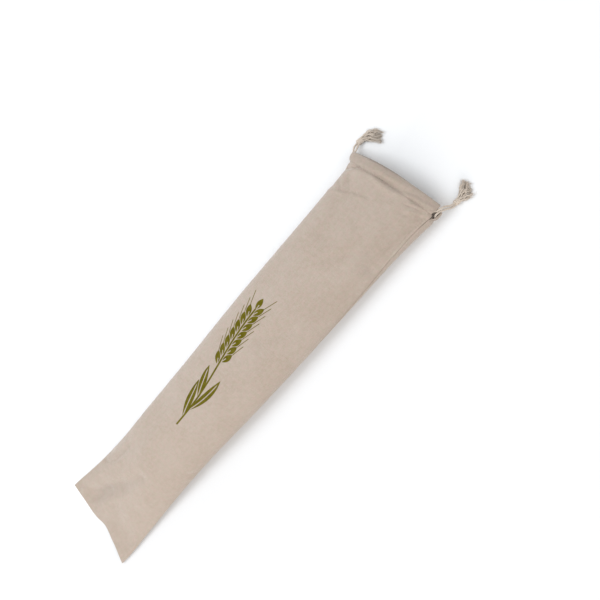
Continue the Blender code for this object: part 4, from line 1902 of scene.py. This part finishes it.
    def fray(self) -> bpy.types.Object:
        """The frayed end: plies that have come apart, loose yarns and fine hairs round them.

        Returns:
            The frayed end.
        """
        strands = Tubes()
        places = np.linspace(0, 1, 60)
        apart = self.lock_gap + self.lock_opening * places**4
        radius = self.lock_radius - self.lock_taper * places**5
        for number in range(self.locks):
            lock = self.strand(number, self.locks, self.lock_curl, places)
            for ply in range(self.plies):
                yarn = wound(lock, apart, self.lock_twist, ply / self.plies + number * 0.17)
                strands.add(off_floor(yarn, radius, self.floor_gap), radius, sides=7)
        radius = self.yarn_radius - self.yarn_taper * places**4
        for number in range(self.loose_yarns):
            yarn = self.strand(number, self.loose_yarns, self.yarn_curl, places * 0.97)
            strands.add(off_floor(yarn, radius, self.floor_gap), radius, sides=6)
        chance = np.random.default_rng(self.seed)
        places = np.linspace(0, 1, 15)
        for _ in range(self.hairs):
            start = chance.uniform(0.0, 0.7)
            lock = int(chance.integers(self.locks))
            hair = self.strand(lock, self.locks, self.lock_curl, start + (0.98 - start) * places)
            drift = chance.normal(0, 1, (2, 3)) * self.hair_drift
            hair = hair + drift[0] * np.sin(places * 2.2)[:, None] + drift[1] * (places**2)[:, None]
            strands.add(off_floor(hair, self.hair_radius, self.hair_gap), self.hair_radius, sides=4)
        return strands.build("fray_" + self.side.value, self.yarn)


# ---------------------------------------------------------------------------------------------
# The bag
# ---------------------------------------------------------------------------------------------


@dataclass
class BreadBag:
    """The whole bag: two panels of linen and two drawcords."""

    form: BagForm = field(default_factory=BagForm)

    def build(self) -> None:
        """Makes every piece, the drawcords first."""
        front_finish = LinenFinish("printed_linen", SprigPrint()).make()
        back_finish = LinenFinish("plain_linen").make()
        yarn = YarnFinish().make()
        thread = YarnFinish(
            "sewing_thread", Slot.LINEN, light=(0.60, 0.52, 0.45), shade=(0.42, 0.36, 0.31)
        ).make()
        front = FrontPanel(self.form, front_finish, thread)
        back = BackPanel(self.form, back_finish, thread)
        for tie in self.ties(front, back, yarn):
            self.report(tie.build())
        for panel in (front, back):
            self.report([panel.build(), panel.stitching()])

    def ties(self, front: Panel, back: Panel, yarn: Finish) -> list[Tie]:
        """The two drawcords.

        Args:
            front: The front panel, whose casing they run in.
            back: The back panel.
            yarn: What they are made of.

        Returns:
            The left one and the right one.
        """
        shared = {"form": self.form, "front": front, "back": back, "yarn": yarn}
        left = Tie(
            **shared,
            side=Side.LEFT,
            lane=4,
            front_end=[
                (335.7, 69.1, 17.7),
                (337.3, 70.4, 15.6),
                (340.6, 71.3, 13.4),
                (343.6, 72.4, 10.7),
                (346.4, 73.5, 8.3),
                (349.3, 74.2, 6.9),
            ],
            back_end=[
                (335.9, 69.8, 10.3),
                (337.1, 71.9, 11.4),
                (339.1, 74.0, 11.0),
                (341.7, 75.9, 9.3),
                (344.4, 76.9, 6.8),
                (346.8, 77.2, 4.8),
                (349.3, 77.0, 3.6),
            ],
            far_turn=[(355.2, -60.8, 26.2), (353.3, -63.7, 23.6), (351.1, -67.0, 21.4)],
            knot_place=(354.0, 76.0),
            heading=-10,
            strand_length=29,
            spread=3.6,
            bend=-11,
            seed=5,
        )
        right = Tie(
            **shared,
            side=Side.RIGHT,
            lane=11,
            front_end=[
                (348.4, -59.0, 28.3),
                (349.7, -61.3, 27.5),
                (351.9, -63.1, 27.5),
                (355.2, -64.4, 27.8),
                (359.3, -65.7, 25.6),
                (362.9, -67.6, 21.0),
                (365.6, -70.0, 15.6),
                (368.1, -72.4, 10.7),
                (370.9, -74.2, 7.6),
                (374.2, -75.0, 6.0),
            ],
            back_end=[
                (343.9, -67.5, 21.1),
                (345.0, -66.4, 23.3),
                (347.0, -66.0, 25.2),
                (349.8, -66.0, 26.2),
                (353.2, -66.9, 25.7),
                (357.0, -68.6, 23.1),
                (360.6, -70.8, 19.0),
                (363.6, -73.2, 13.9),
                (366.6, -75.6, 9.0),
                (370.2, -77.3, 5.6),
                (374.2, -78.0, 4.0),
            ],
            far_turn=[(327.8, 69.8, 13.9)],
            knot_place=(379.0, -76.5),
            heading=-4,
            strand_length=27,
            spread=5.2,
            bend=3.0,
            leaves_at=4,
            seed=9,
        )
        return [left, right]

    def report(self, pieces: Sequence[bpy.types.Object]) -> None:
        """Logs each piece with its count of triangles.

        Args:
            pieces: The pieces.
        """
        depsgraph = bpy.context.evaluated_depsgraph_get()
        for piece in pieces:
            evaluated = piece.evaluated_get(depsgraph)
            mesh = evaluated.to_mesh()
            mesh.calc_loop_triangles()
            log.info("%s: %d triangles", piece.name, len(mesh.loop_triangles))
            evaluated.to_mesh_clear()


def main() -> None:
    """Builds the studio and the bag."""
    logging.basicConfig(level=logging.INFO, format="%(name)s %(message)s")
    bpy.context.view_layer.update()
    Studio().build()
    BreadBag().build()


if __name__ == "__main__":
    main()
